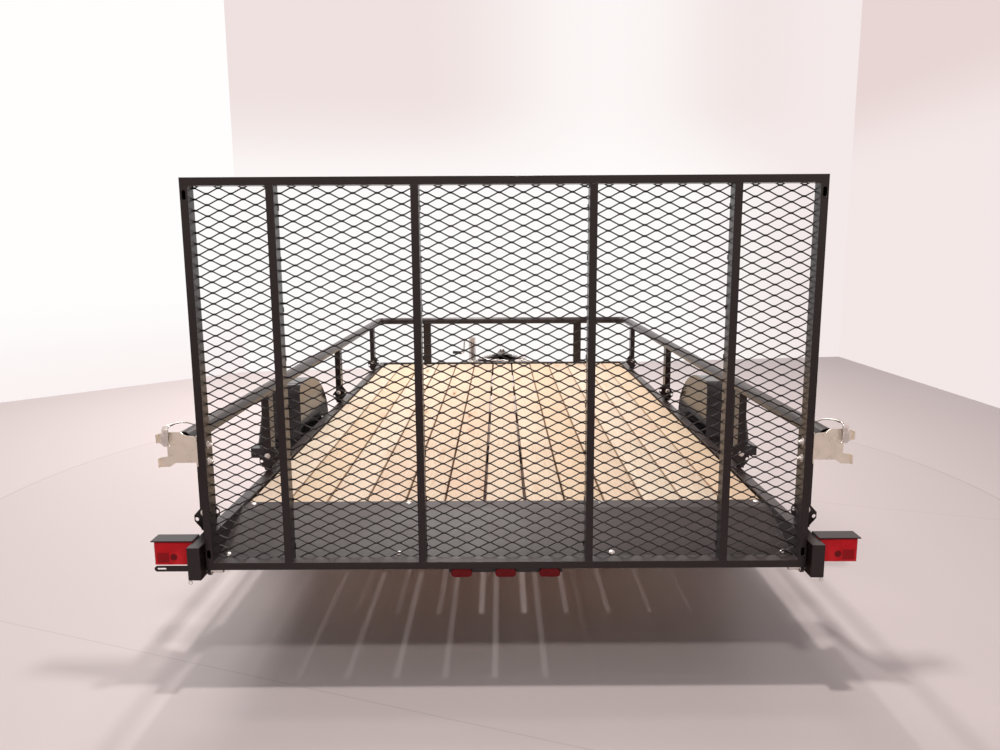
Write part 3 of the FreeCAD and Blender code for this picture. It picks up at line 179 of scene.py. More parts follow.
def ease(signal, low, high):
    """0 below one value, 1 above the other, smooth between."""
    return signal.node("ShaderNodeMapRange", {"interpolation_type": "SMOOTHSTEP"},
                       {"Value": signal, "From Min": low, "From Max": high})


def above(signal, level):
    """How far a signal is past a level, and 0 below it."""
    return signal.math("MAXIMUM", signal - level, 0.0)


def facing_up(start):
    """How far a surface faces up, from 0 to 1."""
    facing = start.node("ShaderNodeSeparateXYZ", {}, {0: start.node("ShaderNodeTexCoord", {}, {}, 1)}, 2)
    return facing.math("MAXIMUM", facing, 0.0)


def bump(height, shader, distance, strength=1.0, base=None):
    """Raise the surface by a height signal, on top of a base normal if there is one."""
    inputs = {"Height": height, "Distance": distance, "Strength": strength}
    if base:
        inputs["Normal"] = base
    feed(height.node("ShaderNodeBump", {}, inputs), shader, "Normal")


def rounded(start, radius):
    """Edges that catch light as if they were rounded."""
    return start.node("ShaderNodeBevel", {"samples": 4}, {"Radius": radius})


FLOOR = (0.82, 0.715, 0.71)
FLOOR_GREY = (0.25, 0.22, 0.22)
FLOOR_HEIGHT = -0.001
ROOM_SPAN = 12.0
TABLE_MIDDLE = (-0.05, -0.45)
TABLE_RADIUS = 2.74
TABLE_GAP = 0.005
# the turntable's sheets meet along slanting lines
JOINT_EVERY = 1.22
JOINT_SLANT = (0.34, 0.94)
floor_paint, floor_shader, start = finish("floor_paint", FLOOR, 0.42)
spot, across, along = spot_on(start)[:3]
from_middle = start.node("ShaderNodeVectorMath", {"operation": "LENGTH"},
                         {0: vector(across - TABLE_MIDDLE[0], along - TABLE_MIDDLE[1], 0.0)}, 1)
ring_distance = from_middle - TABLE_RADIUS
ring = 1 - ease(abs(ring_distance), 0.3 * TABLE_GAP, TABLE_GAP)
slanting = along * JOINT_SLANT[1] + across * JOINT_SLANT[0]
joint_distance = slanting.math("PINGPONG", slanting, JOINT_EVERY)
joint = (1 - ease(joint_distance, 0.001, 0.004)) * (from_middle < TABLE_RADIUS)
scuffs = noise(start, spot, 0.7, 4.0)
cloudy = blend_colour(scuffs, tuple(0.95 * c for c in FLOOR), FLOOR)
cloudy = blend_colour(ease(ring_distance, -0.01, 0.02) * 0.5, cloudy, (0.86, 0.75, 0.75))
lined = blend_colour(ring * 0.4 + joint * 0.2, cloudy, FLOOR_GREY)
feed(lined, floor_shader, "Base Color")
feed(0.36 + scuffs * 0.2, floor_shader, "Roughness")
# seen from below, the floor is clear
feed(1 - start.node("ShaderNodeNewGeometry", {}, {}, "Backfacing"), floor_shader, "Alpha")


def stand(name, corners, faces, material):
    """A piece of the room, made of flat faces."""
    mesh = bpy.data.meshes.new(name)
    mesh.from_pydata(corners, [], faces)
    mesh.materials.append(material)
    piece = bpy.data.objects.new(name, mesh)
    bpy.context.scene.collection.objects.link(piece)
    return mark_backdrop(piece)


floor_corners = [(x * ROOM_SPAN, y * ROOM_SPAN, FLOOR_HEIGHT) for x, y in ((-1, -1), (1, -1), (1, 1), (-1, 1))]
stand("studio_floor", floor_corners, [(0, 1, 2, 3)], floor_paint)

# The walls show white to the camera and in polished pieces, and give no light of their own.
# From outside the room they are clear.
wall_paint = bpy.data.materials.new("wall_paint")
wall_paint.use_nodes = True
wall_tree = wall_paint.node_tree
wall_tree.nodes.remove(wall_tree.nodes["Principled BSDF"])
start = Signal(wall_tree)
seen = start.node("ShaderNodeLightPath", {}, {}, "Is Camera Ray") + start.node(
    "ShaderNodeLightPath", {}, {}, "Is Glossy Ray")
across, along, height = spot_on(start)[1:]
LEFT_CORNER, RIGHT_CORNER = (-2.88, 3.97), (4.20, 4.92)
# the back wall has painted shade, greyer towards its top, but for a painted glow, a lighter patch right of its middle
PATCH_MIDDLE, PATCH_REACH = 1.2, 2.2
lit_patch = ease(abs(across - PATCH_MIDDLE), PATCH_REACH, 0.0)
back_shade = blend_colour(ease(height, 1.8, 3.1) * (1 - lit_patch * 0.8), (1.0, 0.975, 0.965), (0.86, 0.75, 0.735))
# more painted shade: the back wall greys towards its right end, the right wall darkens towards its top, the left wall
# towards the floor, and the walls behind the camera are pinker
back_shade = blend_colour(ease(across, 2.0, 4.0), back_shade, (0.905, 0.82, 0.81))
right_shade = blend_colour(ease(height, 2.2, 3.2), (0.90, 0.805, 0.795), (0.80, 0.67, 0.655))
left_shade = blend_colour(ease(height, 0.0, 1.0), (0.965, 0.90, 0.895), (1.0, 0.99, 0.985))
wall_white_and_painted_shade = blend_colour(across > LEFT_CORNER[0], left_shade, back_shade)
wall_white_and_painted_shade = blend_colour(across > RIGHT_CORNER[0], wall_white_and_painted_shade, right_shade)
wall_white_and_painted_shade = blend_colour(ease(along, -3.0, -6.0), wall_white_and_painted_shade, (0.90, 0.76, 0.72))
glow = start.node("ShaderNodeEmission", {}, {"Color": wall_white_and_painted_shade, "Strength": 1.0})
clear = start.node("ShaderNodeBsdfTransparent", {}, {})
room_side = 1 - start.node("ShaderNodeNewGeometry", {}, {}, "Backfacing")
wall_out = start.node("ShaderNodeMixShader", {}, {0: seen.math("MINIMUM", seen, 1.0) * room_side, 1: clear, 2: glow})
wall_tree.links.new(wall_out.socket, wall_tree.nodes["Material Output"].inputs["Surface"])
WALL_TALL = 6.0
wall_line = [(-6.4, -9.0), (-6.4, 0.35), LEFT_CORNER, RIGHT_CORNER, (4.21, -9.0), (-6.4, -9.0)]
wall_corners = [(x, y, z) for x, y in wall_line for z in (FLOOR_HEIGHT, WALL_TALL)]
wall_faces = [(2 * i, 2 * i + 2, 2 * i + 3, 2 * i + 1) for i in range(len(wall_line) - 1)]
stand("studio_walls", wall_corners, wall_faces, wall_paint)

# A sky of even light, brighter where polished pieces mirror it, and the ceiling lamps.
WORLD_LIGHT, WORLD_MIRROR = 0.20, 0.95
world = bpy.data.worlds.new("studio")
bpy.context.scene.world = world
world.use_nodes = True
background = world.node_tree.nodes["Background"]
sky = Signal(world.node_tree)
mirrored = sky.node("ShaderNodeLightPath", {}, {}, "Is Glossy Ray") + sky.node(
    "ShaderNodeLightPath", {}, {}, "Is Camera Ray")
mirrored = mirrored.math("MINIMUM", mirrored, 1.0)
feed(blend_colour(mirrored, (1.0, 0.96, 0.955), (1.0, 0.86, 0.85)), background, "Color")
feed(WORLD_LIGHT + mirrored * (WORLD_MIRROR - WORLD_LIGHT), background, "Strength")
# name, place, width and length, power
for name, place, size, power in (("lamp_rear", (0.07, -2.555, 3.9), (0.16, 0.16), 48),
                                 ("lamp_front", (-0.35, 1.45, 3.9), (0.16, 0.16), 72),
                                 ("lamp_back", (0.2, -4.85, 3.9), (0.5, 0.3), 42),
                                 ("ceiling_panel", (-1.5, 2.8, 5.6), (4.5, 4.5), 250)):
    light = bpy.data.lights.new(name, "AREA")
    light.shape = "RECTANGLE"
    light.size, light.size_y = size
    light.energy = power
    light.color = (1.0, 0.96, 0.93)
    lamp = bpy.data.objects.new(name, light)
    lamp.location = place
    bpy.context.scene.collection.objects.link(lamp)
bpy.context.scene.view_settings.view_transform = "Standard"


# ---------------------------------------------------------------- steel frame
# Square tube and channel welded up and powder coated satin black: side rails, crossmembers, posts,
# gate frame and small brackets. The coat has a fine orange peel and keeps a film of dust on top.
EDGE = 0.0022
DUST = (0.30, 0.22, 0.20)
bed_rear = cad_low.y


def powder_coat(name, colour, roughness, dust):
    """Powder coat with orange peel, uneven gloss and dust on what faces up."""
    material, shader, start = finish(name, colour, roughness, IOR=1.45)
    spot = spot_on(start)[0]
    uneven = noise(start, spot, 9.0, 4.0)
    film = facing_up(start) * uneven * dust
    feed(blend_colour(film, colour, DUST), shader, "Base Color")
    feed(roughness + film * 0.6 + (uneven - 0.5) * 0.16, shader, "Roughness")
    bump(noise(start, spot, 420.0, 2.0), shader, 0.0002, 0.3, rounded(start, EDGE))
    return material


def paint(material, *names):
    """Give CAD nodes a finish in place of their plain one."""
    for name in names:
        piece = nodes[name]
        piece.data.materials.clear()
        piece.data.materials.append(material)


satin_black = powder_coat("satin_black", (0.0135, 0.0062, 0.0066), 0.30, 0.10)
paint(satin_black, "side_rail_left", "side_rail_right", "front_crossmember", "top_rail_left", "top_rail_right",
      "front_rail", "side_posts", "front_posts", "post_feet", "tongue_left", "tongue_right", "coupler",
      "fender_brackets", "lamp_guards", "licence_bracket", "gate_lugs", "gate_uprights", "gate_top_rail",
      "gate_bottom_rail")
chassis_black = powder_coat("chassis_black", (0.016, 0.013, 0.013), 0.5, 0.2)
paint(chassis_black, "crossmembers", "axle_beam", "leaf_springs", "spring_hangers", "axle_clamps")


def settle(mesh, name, material, body, smooth=40):
    """Finish a bmesh as a piece that rides on a body."""
    bmesh.ops.recalc_face_normals(mesh, faces=mesh.faces)
    data = bpy.data.meshes.new(name)
    mesh.to_mesh(data)
    mesh.free()
    data.materials.append(material)
    piece = bpy.data.objects.new(name, data)
    bpy.context.scene.collection.objects.link(piece)
    if smooth:
        data.shade_smooth()
        data.set_sharp_from_angle(angle=math.radians(smooth))
    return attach(piece, body)


def add_tube(mesh, points, radius, sides=8, closed=False):
    """A round bar through points, into a bmesh; radius is one value or one for each point."""
    points = [Vector(point) for point in points]
    radii = radius if isinstance(radius, list) else [radius] * len(points)
    count = len(points)
    rings = []
    side = None
    for i, point in enumerate(points):
        before = points[i - 1] if i or closed else point
        after = points[(i + 1) % count] if i < count - 1 or closed else point
        ahead = (after - before).normalized()
        if side is None:
            side = ahead.orthogonal()
        side = (side - ahead * side.dot(ahead)).normalized()
        up = ahead.cross(side)
        angles = [math.tau * k / sides for k in range(sides)]
        rings.append([mesh.verts.new(point + (side * math.cos(a) + up * math.sin(a)) * radii[i]) for a in angles])
    pairs = list(zip(rings, rings[1:])) + ([(rings[-1], rings[0])] if closed else [])
    for low, high in pairs:
        for k in range(sides):
            mesh.faces.new((low[k], low[(k + 1) % sides], high[(k + 1) % sides], high[k]))
    if not closed:
        mesh.faces.new(rings[0][::-1])
        mesh.faces.new(rings[-1])


# Weld beads run round the posts' feet, along the crossmembers' ends and where the tongue meets the frame.
RIPPLE = 0.0035
weld_chance = random.Random(7)


def add_bead(mesh, points, radius):
    """A weld bead through points: a bar whose radius rises and falls with each puddle."""
    path, radii = [], []
    for a, b in zip(points, points[1:]):
        a, b = Vector(a), Vector(b)
        puddles = max(2, int((b - a).length / RIPPLE))
        for i in range(puddles):
            path.append(a.lerp(b, i / puddles))
            radii.append(radius * (1.0 if i % 2 else 0.82) * weld_chance.uniform(0.93, 1.07))
    path.append(Vector(points[-1]))
    radii.append(radius)
    add_tube(mesh, path, radii, 6)


welds = bmesh.new()
BEAD = 0.0028
rail_low, rail_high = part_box("side_rail_left")
# stations run forward from the bed's rear end
POST_STATIONS = (0.152, 0.821, 2.200, 3.400)
POST_WIDE, POST_NARROW = 0.057, 0.030
PIPE_SIDE = 0.950
outer, inner = -rail_low.x, -rail_high.x
post_inside = PIPE_SIDE - POST_NARROW / 2
for side in (-1, 1):
    for station in POST_STATIONS:
        y = bed_rear + station
        round_foot = ((outer, 0), (post_inside, 0), (post_inside, POST_WIDE), (outer, POST_WIDE))
        add_bead(welds, [(side * x, y + ahead, rail_high.z) for x, ahead in round_foot], BEAD)
cross_low, cross_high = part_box("crossmembers")
CROSS_STATIONS = (0.415, 1.2477, 2.0804, 2.9131)
CROSS_WIDE = 0.05
# how far the upright beads stay from the channel's bottom and top
CROSS_BOTTOM_GAP, CROSS_TOP_GAP = 0.004, 0.006
for side in (-1, 1):
    for station in CROSS_STATIONS:
        x, y = side * inner, bed_rear + station
        add_bead(welds, [(x, y, cross_low.z + CROSS_BOTTOM_GAP), (x, y, cross_high.z - CROSS_TOP_GAP)], BEAD)
        add_bead(welds, [(x, y, cross_low.z), (x, y + CROSS_WIDE, cross_low.z)], BEAD)
tongue_low, tongue_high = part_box("tongue_left")
frame_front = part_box("front_crossmember")[1].y
TONGUE_BEAD = 0.042
for side in (-1, 1):
    x = side * (-tongue_low.x)
    for z in (tongue_low.z, tongue_high.z):
        add_bead(welds, [(x, frame_front, z), (x - side * TONGUE_BEAD, frame_front, z)], BEAD)
    add_bead(welds, [(x, frame_front, tongue_low.z), (x, frame_front, tongue_high.z)], BEAD)
settle(welds, "weld_beads", satin_black, "chassis", smooth=60)

# ---------------------------------------------------------------- rear plate
# A folded steel sheet forms the ramp's sill. It is coated satin black and bolted down with
# zinc-plated domed bolts in two rows, one on the flat and one low on the slope.
plate_black = powder_coat("plate_black", (0.027, 0.0175, 0.0180), 0.44, 0.06)
paint(plate_black, "rear_plate")


def zinc(name, colour, roughness):
    """Bright zinc plating, clouded where it dried."""
    material, shader, start = finish(name, colour, roughness, 1.0)
    spot = spot_on(start)[0]
    cloud = noise(start, spot, 34.0, 4.0)
    feed(blend_colour(cloud, tuple(0.82 * c for c in colour), colour), shader, "Base Color")
    feed(roughness + (cloud - 0.5) * 0.25, shader, "Roughness")
    bump(noise(start, spot, 600.0, 2.0), shader, 0.0001, 0.3, rounded(start, 0.0012))
    return material


bright_zinc = zinc("bright_zinc", (0.80, 0.76, 0.72), 0.30)


def add_lathe(mesh, outline, at, axis, sides=20):
    """Turn an outline of (along the axis, radius) about an axis through a point, into a bmesh."""
    turn = Vector((0, 0, 1)).rotation_difference(Vector(axis)).to_matrix()
    rings = []
    for along, radius in outline:
        if radius == 0:
            rings.append([mesh.verts.new(Vector(at) + turn @ Vector((0, 0, along)))])
            continue
        angles = [math.tau * i / sides for i in range(sides)]
        rings.append([mesh.verts.new(Vector(at) + turn @ Vector((radius * math.cos(a), radius * math.sin(a), along)))
                      for a in angles])
    for low, high in zip(rings, rings[1:]):
        for i in range(sides):
            j = (i + 1) % sides
            if len(low) == 1 and len(high) == 1:
                continue
            if len(low) == 1:
                mesh.faces.new((low[0], high[j], high[i]))
            elif len(high) == 1:
                mesh.faces.new((low[i], low[j], high[0]))
            else:
                mesh.faces.new((low[i], low[j], high[j], high[i]))


def add_box(mesh, low, high, bevel=0.0):
    """A box between two corners, its edges bevelled, into a bmesh."""
    low, high = Vector(low), Vector(high)
    made = bmesh.ops.create_cube(mesh, size=1.0, matrix=Matrix.Translation((low + high) / 2)
                                 @ Matrix.Diagonal((*(high - low), 1)))
    if bevel:
        edges = list(dict.fromkeys(edge for vertex in made["verts"] for edge in vertex.link_edges))
        bmesh.ops.bevel(mesh, geom=edges, offset=bevel, segments=2, affect="EDGES", profile=0.5)


def add_bolt(mesh, at, axis, flats, tall, washer):
    """A hexagon head on a round washer of this radius, standing on a face."""
    corner = flats / math.sqrt(3)
    thin = washer * 0.13
    top = thin + tall
    add_lathe(mesh, [(0, 0), (0, washer), (thin * 0.7, washer), (thin, washer * 0.94), (thin, 0)], at, axis, 28)
    add_lathe(mesh, [(thin, corner), (thin + tall * 0.82, corner), (top, corner * 0.84), (top, 0)], at, axis, 6)


# domed head: (height, radius) from its seat
DOME = [(0, 0.010), (0.0012, 0.0104), (0.0032, 0.0092), (0.0048, 0.0062), (0.0055, 0.0026), (0.0056, 0)]
DOME_SINK = 0.0003
plate_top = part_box("rear_plate")[1].z
FLAT_STATION = 0.434
SLOPE_STATION, SLOPE_HEIGHT = 0.156, 0.397
FOLD_STATION, FOLD_HEIGHT = 0.379, 0.470
PLATE_BOLT_SIDES = (-0.887, -0.340, 0.340, 0.887)
slope = Vector((0, SLOPE_HEIGHT - FOLD_HEIGHT, FOLD_STATION - SLOPE_STATION)).normalized()
plate_bolts = bmesh.new()
for x in PLATE_BOLT_SIDES:
    add_lathe(plate_bolts, DOME, (x, bed_rear + FLAT_STATION, plate_top - DOME_SINK), (0, 0, 1))
    add_lathe(plate_bolts, DOME, (x, bed_rear + SLOPE_STATION, SLOPE_HEIGHT), slope)
settle(plate_bolts, "plate_bolts", bright_zinc, "chassis")

# ---------------------------------------------------------------- post plates
# A slanting plate stands behind each side post's foot for lashings. It is held by one
# zinc-plated hexagon bolt through the post.
PLATE_BACK = 0.005
POST_BOLT_HEIGHT = 0.539
post_bolts = bmesh.new()
for side in (-1, 1):
    for station in POST_STATIONS:
        add_bolt(post_bolts, (side * PIPE_SIDE, bed_rear + station - PLATE_BACK, POST_BOLT_HEIGHT), (0, -1, 0),
                 flats=0.016, tall=0.008, washer=0.0118)
settle(post_bolts, "post_bolts", bright_zinc, "chassis")

# ---------------------------------------------------------------- deck
# Thirteen pine planks, planed and untreated, run the length of the bed. Each has its own grain,
# tint and knots, and the edges are painted a little darker, painted shade along the joints.
PLANK_WIDE, PLANK_STEP = 0.1332, 0.1398
PLANKS_EACH_SIDE = 6
# the joints beside the middle plank are wider by this, and lie this far from the middle
MIDDLE_EXTRA, MIDDLE_JOINT = 0.0038, 0.0718
EASED = 0.003
planks_low, planks_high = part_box("deck_planks")
pine, pine_shader, start = finish("pine", (0.78, 0.58, 0.42), 0.6)
across, along, height = spot_on(start)[1:]
away = abs(across)
counted = (away - (away > MIDDLE_JOINT) * MIDDLE_EXTRA) * (1 / PLANK_STEP) + 0.5
number = counted.math("FLOOR", counted) * across.math("SIGN", across)
within = counted.math("FRACT", counted) - 0.5
own, second = [start.node("ShaderNodeTexWhiteNoise", {"noise_dimensions": "1D"}, {"W": number + seed})
               for seed in (3.7, 41.3)]
# growth rings wander along each plank and crowd into flames where the saw ran near the heart
wander = noise(start, vector(number * 9.1, along * 0.6, second * 7.0), 1.0, 2.0)
grain_place = vector(within + (wander - 0.5) * (0.8 + own * 0.8) + own * 11.0, along * 0.12 + own * 5.0,
                     height * 3.0)
rings = noise(start, grain_place, 6.0, 1.0, 0.4) * 24.0
growth = rings.math("FRACT", rings)
late = ease(growth, 0.4, 0.9) - ease(growth, 0.92, 1.0)
fibre = noise(start, vector(across * 900.0, along * 9.0, height * 600.0), 1.0, 3.0, 0.6)
pale = blend_colour(own, (0.90, 0.765, 0.605), (0.83, 0.65, 0.48))
wood = blend_colour(late * 0.5, pale, (0.60, 0.37, 0.20))
wood = blend_colour((fibre - 0.35) * 0.3, wood, (0.52, 0.33, 0.20))
knots = start.node("ShaderNodeTexVoronoi", {}, {
    "Vector": vector(within + own * 17.0, along * 1.25 + second * 9.0, 0.0), "Scale": 1.25})
wood = blend_colour(ease(knots, 0.24, 0.06) * 0.5, wood, (0.62, 0.34, 0.16))
wood = blend_colour(ease(knots, 0.085, 0.045) * 0.85, wood, (0.16, 0.075, 0.035))
tint = noise(start, vector(number * 3.3, along * 1.4, 0.0), 1.0, 2.0)
wood = blend_colour(above(tint, 0.42) * 1.1, wood, (0.86, 0.50, 0.34))
wood = blend_colour(above(second, 0.55) * 0.7, wood, (0.83, 0.60, 0.36))
# painted shade: each plank darkens over its last few millimetres towards the joint
edge = abs(within) * PLANK_STEP - PLANK_WIDE / 2
wood = blend_colour(ease(edge, -0.003, -0.0005) * 0.2, wood, (0.34, 0.20, 0.11))
feed(wood, pine_shader, "Base Color")
feed(0.52 + fibre * 0.25, pine_shader, "Roughness")
bump(fibre * 0.6 + late * 0.4, pine_shader, 0.0004, 0.5, rounded(start, 0.003))
planks = bmesh.new()
for index in range(-PLANKS_EACH_SIDE, PLANKS_EACH_SIDE + 1):
    middle = index * PLANK_STEP + MIDDLE_EXTRA * ((index > 0) - (index < 0))
    add_box(planks, (middle - PLANK_WIDE / 2, planks_low.y, planks_low.z),
            (middle + PLANK_WIDE / 2, planks_high.y, planks_high.z), EASED)
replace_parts(settle(planks, "pine_planks", pine, "chassis"), "deck_planks")

# ---------------------------------------------------------------- gate
# Six uprights between two rails carry a sheet of expanded steel: one sheet slit and stretched
# into diamonds, so neighbouring strands join at flat knuckles. It is welded on the deck side and coated.
DIAMOND_LONG, DIAMOND_SHORT = 0.0698, 0.0314
STRAND_WIDE, STRAND_THICK = 0.0034, 0.0028
STRAND_TILT = math.radians(38)
KNUCKLE_LONG, KNUCKLE_LAP = 0.0085, 0.0019
# one knuckle's place; the rest follow from the diamonds' sizes
KNUCKLE = (-0.3979, 1.1548)
mesh_low, mesh_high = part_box("gate_mesh_rising")
MESH_MIDDLE = 0.0024
mesh_middle = mesh_low.y + MESH_MIDDLE
wide = Vector((0, math.sin(STRAND_TILT), math.cos(STRAND_TILT))) * (STRAND_WIDE / 2)
thick = Vector((0, math.cos(STRAND_TILT), -math.sin(STRAND_TILT))) * (STRAND_THICK / 2)
half_long, half_short = DIAMOND_LONG / 2, DIAMOND_SHORT / 2
swing = half_short / 2 - KNUCKLE_LAP / 2


def strand_line(row):
    """One strand's zigzag across the sheet, cut off at its two edges."""
    middle = KNUCKLE[1] + (row + 0.5) * half_short
    first = math.floor((mesh_low.x - KNUCKLE[0]) / half_long) - 1
    last = math.ceil((mesh_high.x - KNUCKLE[0]) / half_long) + 1
    line = []
    for lit_column in range(first, last + 1):
        z = middle + (swing if (lit_column + row) % 2 else -swing)
        line += [(KNUCKLE[0] + lit_column * half_long + step, z) for step in (-KNUCKLE_LONG / 2, KNUCKLE_LONG / 2)]
    ends = []
    for limit in (mesh_low.x, mesh_high.x):
        for (x0, z0), (x1, z1) in zip(line, line[1:]):
            if x0 <= limit < x1:
                ends.append((limit, z0 + (z1 - z0) * (limit - x0) / (x1 - x0)))
    return ends[:1] + [(x, z) for x, z in line if mesh_low.x < x < mesh_high.x] + ends[1:]


gate_mesh = bmesh.new()
rows_below = int((KNUCKLE[1] - mesh_low.z) / half_short)
rows_above = int((mesh_high.z - KNUCKLE[1]) / half_short)
for row in range(-rows_below, rows_above):
    previous = None
    for x, z in strand_line(row):
        at = Vector((x, mesh_middle, z))
        ring = [gate_mesh.verts.new(at + a * wide + b * thick) for a, b in ((1, 1), (1, -1), (-1, -1), (-1, 1))]
        if previous:
            for k in range(4):
                gate_mesh.faces.new((previous[k], previous[(k + 1) % 4], ring[(k + 1) % 4], ring[k]))
        else:
            gate_mesh.faces.new(ring)
        previous = ring
    gate_mesh.faces.new(previous[::-1])
mesh_black = powder_coat("mesh_black", (0.0120, 0.0060, 0.0062), 0.34, 0.05)
expanded_metal = settle(gate_mesh, "expanded_metal", mesh_black, "gate", smooth=0)
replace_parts(expanded_metal, "gate_mesh_rising", "gate_mesh_falling")

# Short welds tack the sheet to the inner uprights, and beads close the frame's corners.
gate_low, gate_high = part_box("gate_uprights")
GATE_TUBE, GATE_DEEP = 0.0222, 0.044
INNER_UPRIGHTS = (-0.658, -0.252, 0.252, 0.658)
TACK, TACK_EVERY, TACK_END = 0.014, 0.145, 0.05
TACK_RADIUS, CORNER_RADIUS = 0.0022, 0.0024
# where the corners' beads start and end across the tube's depth
CORNER_START, CORNER_END = 0.004, GATE_DEEP - 0.002
tacks = bmesh.new()
for x in INNER_UPRIGHTS:
    for edge_x in (x - GATE_TUBE / 2, x + GATE_TUBE / 2):
        z = mesh_low.z + TACK_END
        while z < mesh_high.z - TACK_END:
            add_bead(tacks, [(edge_x, mesh_low.y, z), (edge_x, mesh_low.y, z + TACK)], TACK_RADIUS)
            z += TACK_EVERY
for side in (-1, 1):
    corner_x = side * (gate_high.x - GATE_TUBE)
    for z in (gate_low.z + GATE_TUBE, gate_high.z):
        add_bead(tacks, [(corner_x, gate_low.y + deep, z) for deep in (CORNER_START, CORNER_END)], CORNER_RADIUS)
settle(tacks, "gate_welds", satin_black, "gate", smooth=60)

# ---------------------------------------------------------------- gate hinge
# Each pin runs through the rail and the gate's lug, with a washer inside
# and a spring clip outside that keeps it from working out.
pin_low, pin_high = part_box("hinge_pins")
hinge = Vector((0, (pin_low.y + pin_high.y) / 2, (pin_low.z + pin_high.z) / 2))
paint(bright_zinc, "hinge_pins")
CLIP_WIRE, CLIP_OUT = 0.0014, 0.009
CLIP_SCALE, CLIP_SLANT = 0.72, 0.3
RING_RADIUS, RING_BELOW = 0.0055, 0.0375
RING_SIDES = 14
WASHER_PLACE = 0.8985
# outlines: (along the pin, radius)
PIN_END = [(0, 0.0062), (0.014, 0.0062), (0.0155, 0.0048), (0.0155, 0)]
PIN_WASHER = [(0, 0.0066), (0, 0.0115), (0.0018, 0.0115), (0.0018, 0.0066)]
hinge_small = bmesh.new()
# the clip's line: (forward of the pin, up)
clip_path = [(0, 0.006), (0, -0.018), (0.002, -0.034), (0.0005, -0.043), (-0.0055, -0.046), (-0.011, -0.041),
             (-0.0115, -0.033), (-0.007, -0.026), (-0.0075, -0.018), (-0.011, -0.010), (-0.008, -0.003)]
for side in (-1, 1):
    stub = (side * (-pin_low.x), hinge.y, hinge.z)
    add_lathe(hinge_small, PIN_END, stub, (side, 0, 0), 18)
    clip_x = side * (-pin_low.x + CLIP_OUT)
    angles = [math.tau * i / RING_SIDES for i in range(RING_SIDES)]
    ring = [(clip_x + RING_RADIUS * math.cos(a), hinge.y - RING_RADIUS,
             hinge.z - RING_BELOW + RING_RADIUS * math.sin(a)) for a in angles]
    add_tube(hinge_small, ring, CLIP_WIRE, 6, closed=True)
    clip = [(clip_x + side * ahead * CLIP_SLANT, hinge.y + ahead, hinge.z + CLIP_SCALE * up)
            for ahead, up in clip_path]
    add_tube(hinge_small, clip, CLIP_WIRE, 6)
    add_lathe(hinge_small, PIN_WASHER, (side * WASHER_PLACE, hinge.y, hinge.z), (side, 0, 0), 24)
settle(hinge_small, "hinge_clips", bright_zinc, "chassis")

# ---------------------------------------------------------------- gate latches
# A zinc-plated plate on each outer upright closes against the top rail's open end. Two bolts
# hold it, and a hooked strap with a spring wire lies over the pipe to keep the gate shut.
latch_zinc = zinc("latch_zinc", (0.99, 0.92, 0.80), 0.30)
paint(latch_zinc, "gate_latches")
LATCH_BOLTS = (0.7840, 0.7335)
LATCH_PLATE = 0.003
THREAD_END = [(0.008, 0.0038), (0.0135, 0.0038), (0.0145, 0.0030), (0.0145, 0)]
STRAP_WIDE, STRAP_THICK = 0.015, 0.003
# the strap's place across; its part on the pipe lies further in
STRAP_SIDE, STRAP_LEAN = 1.000, 0.012
STRAP_ABOVE, STRAP_END_SHARE = 0.0190, 0.62
gate_side = gate_high.x
strap_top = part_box("top_rail_left")[1].z + STRAP_ABOVE
# the strap's line: (station, height), along the pipe, over its open end and down behind the plate
BEND = [(0.092, strap_top - 0.004), (0.070, strap_top), (0.036, strap_top), (0.026, strap_top - 0.003),
        (0.020, strap_top - 0.010), (0.018, strap_top - 0.030), (0.018, 0.794), (0.0205, 0.7875)]
# the spring wire's line: (place across, station, height), from the pipe's top, over and down beside
# the strap to a small hook
SPRING = [(0.9505, 0.122, 0.8314), (0.9515, 0.108, 0.8350), (0.958, 0.088, 0.8445), (0.968, 0.070, 0.849),
          (0.979, 0.045, 0.851), (0.986, 0.026, 0.849), (0.9885, 0.016, 0.842), (0.989, 0.0135, 0.826),
          (0.9885, 0.013, 0.806), (0.988, 0.013, 0.795), (0.984, 0.013, 0.7895), (0.979, 0.0135, 0.7905),
          (0.9765, 0.014, 0.795)]
SPRING_WIRE = 0.0021
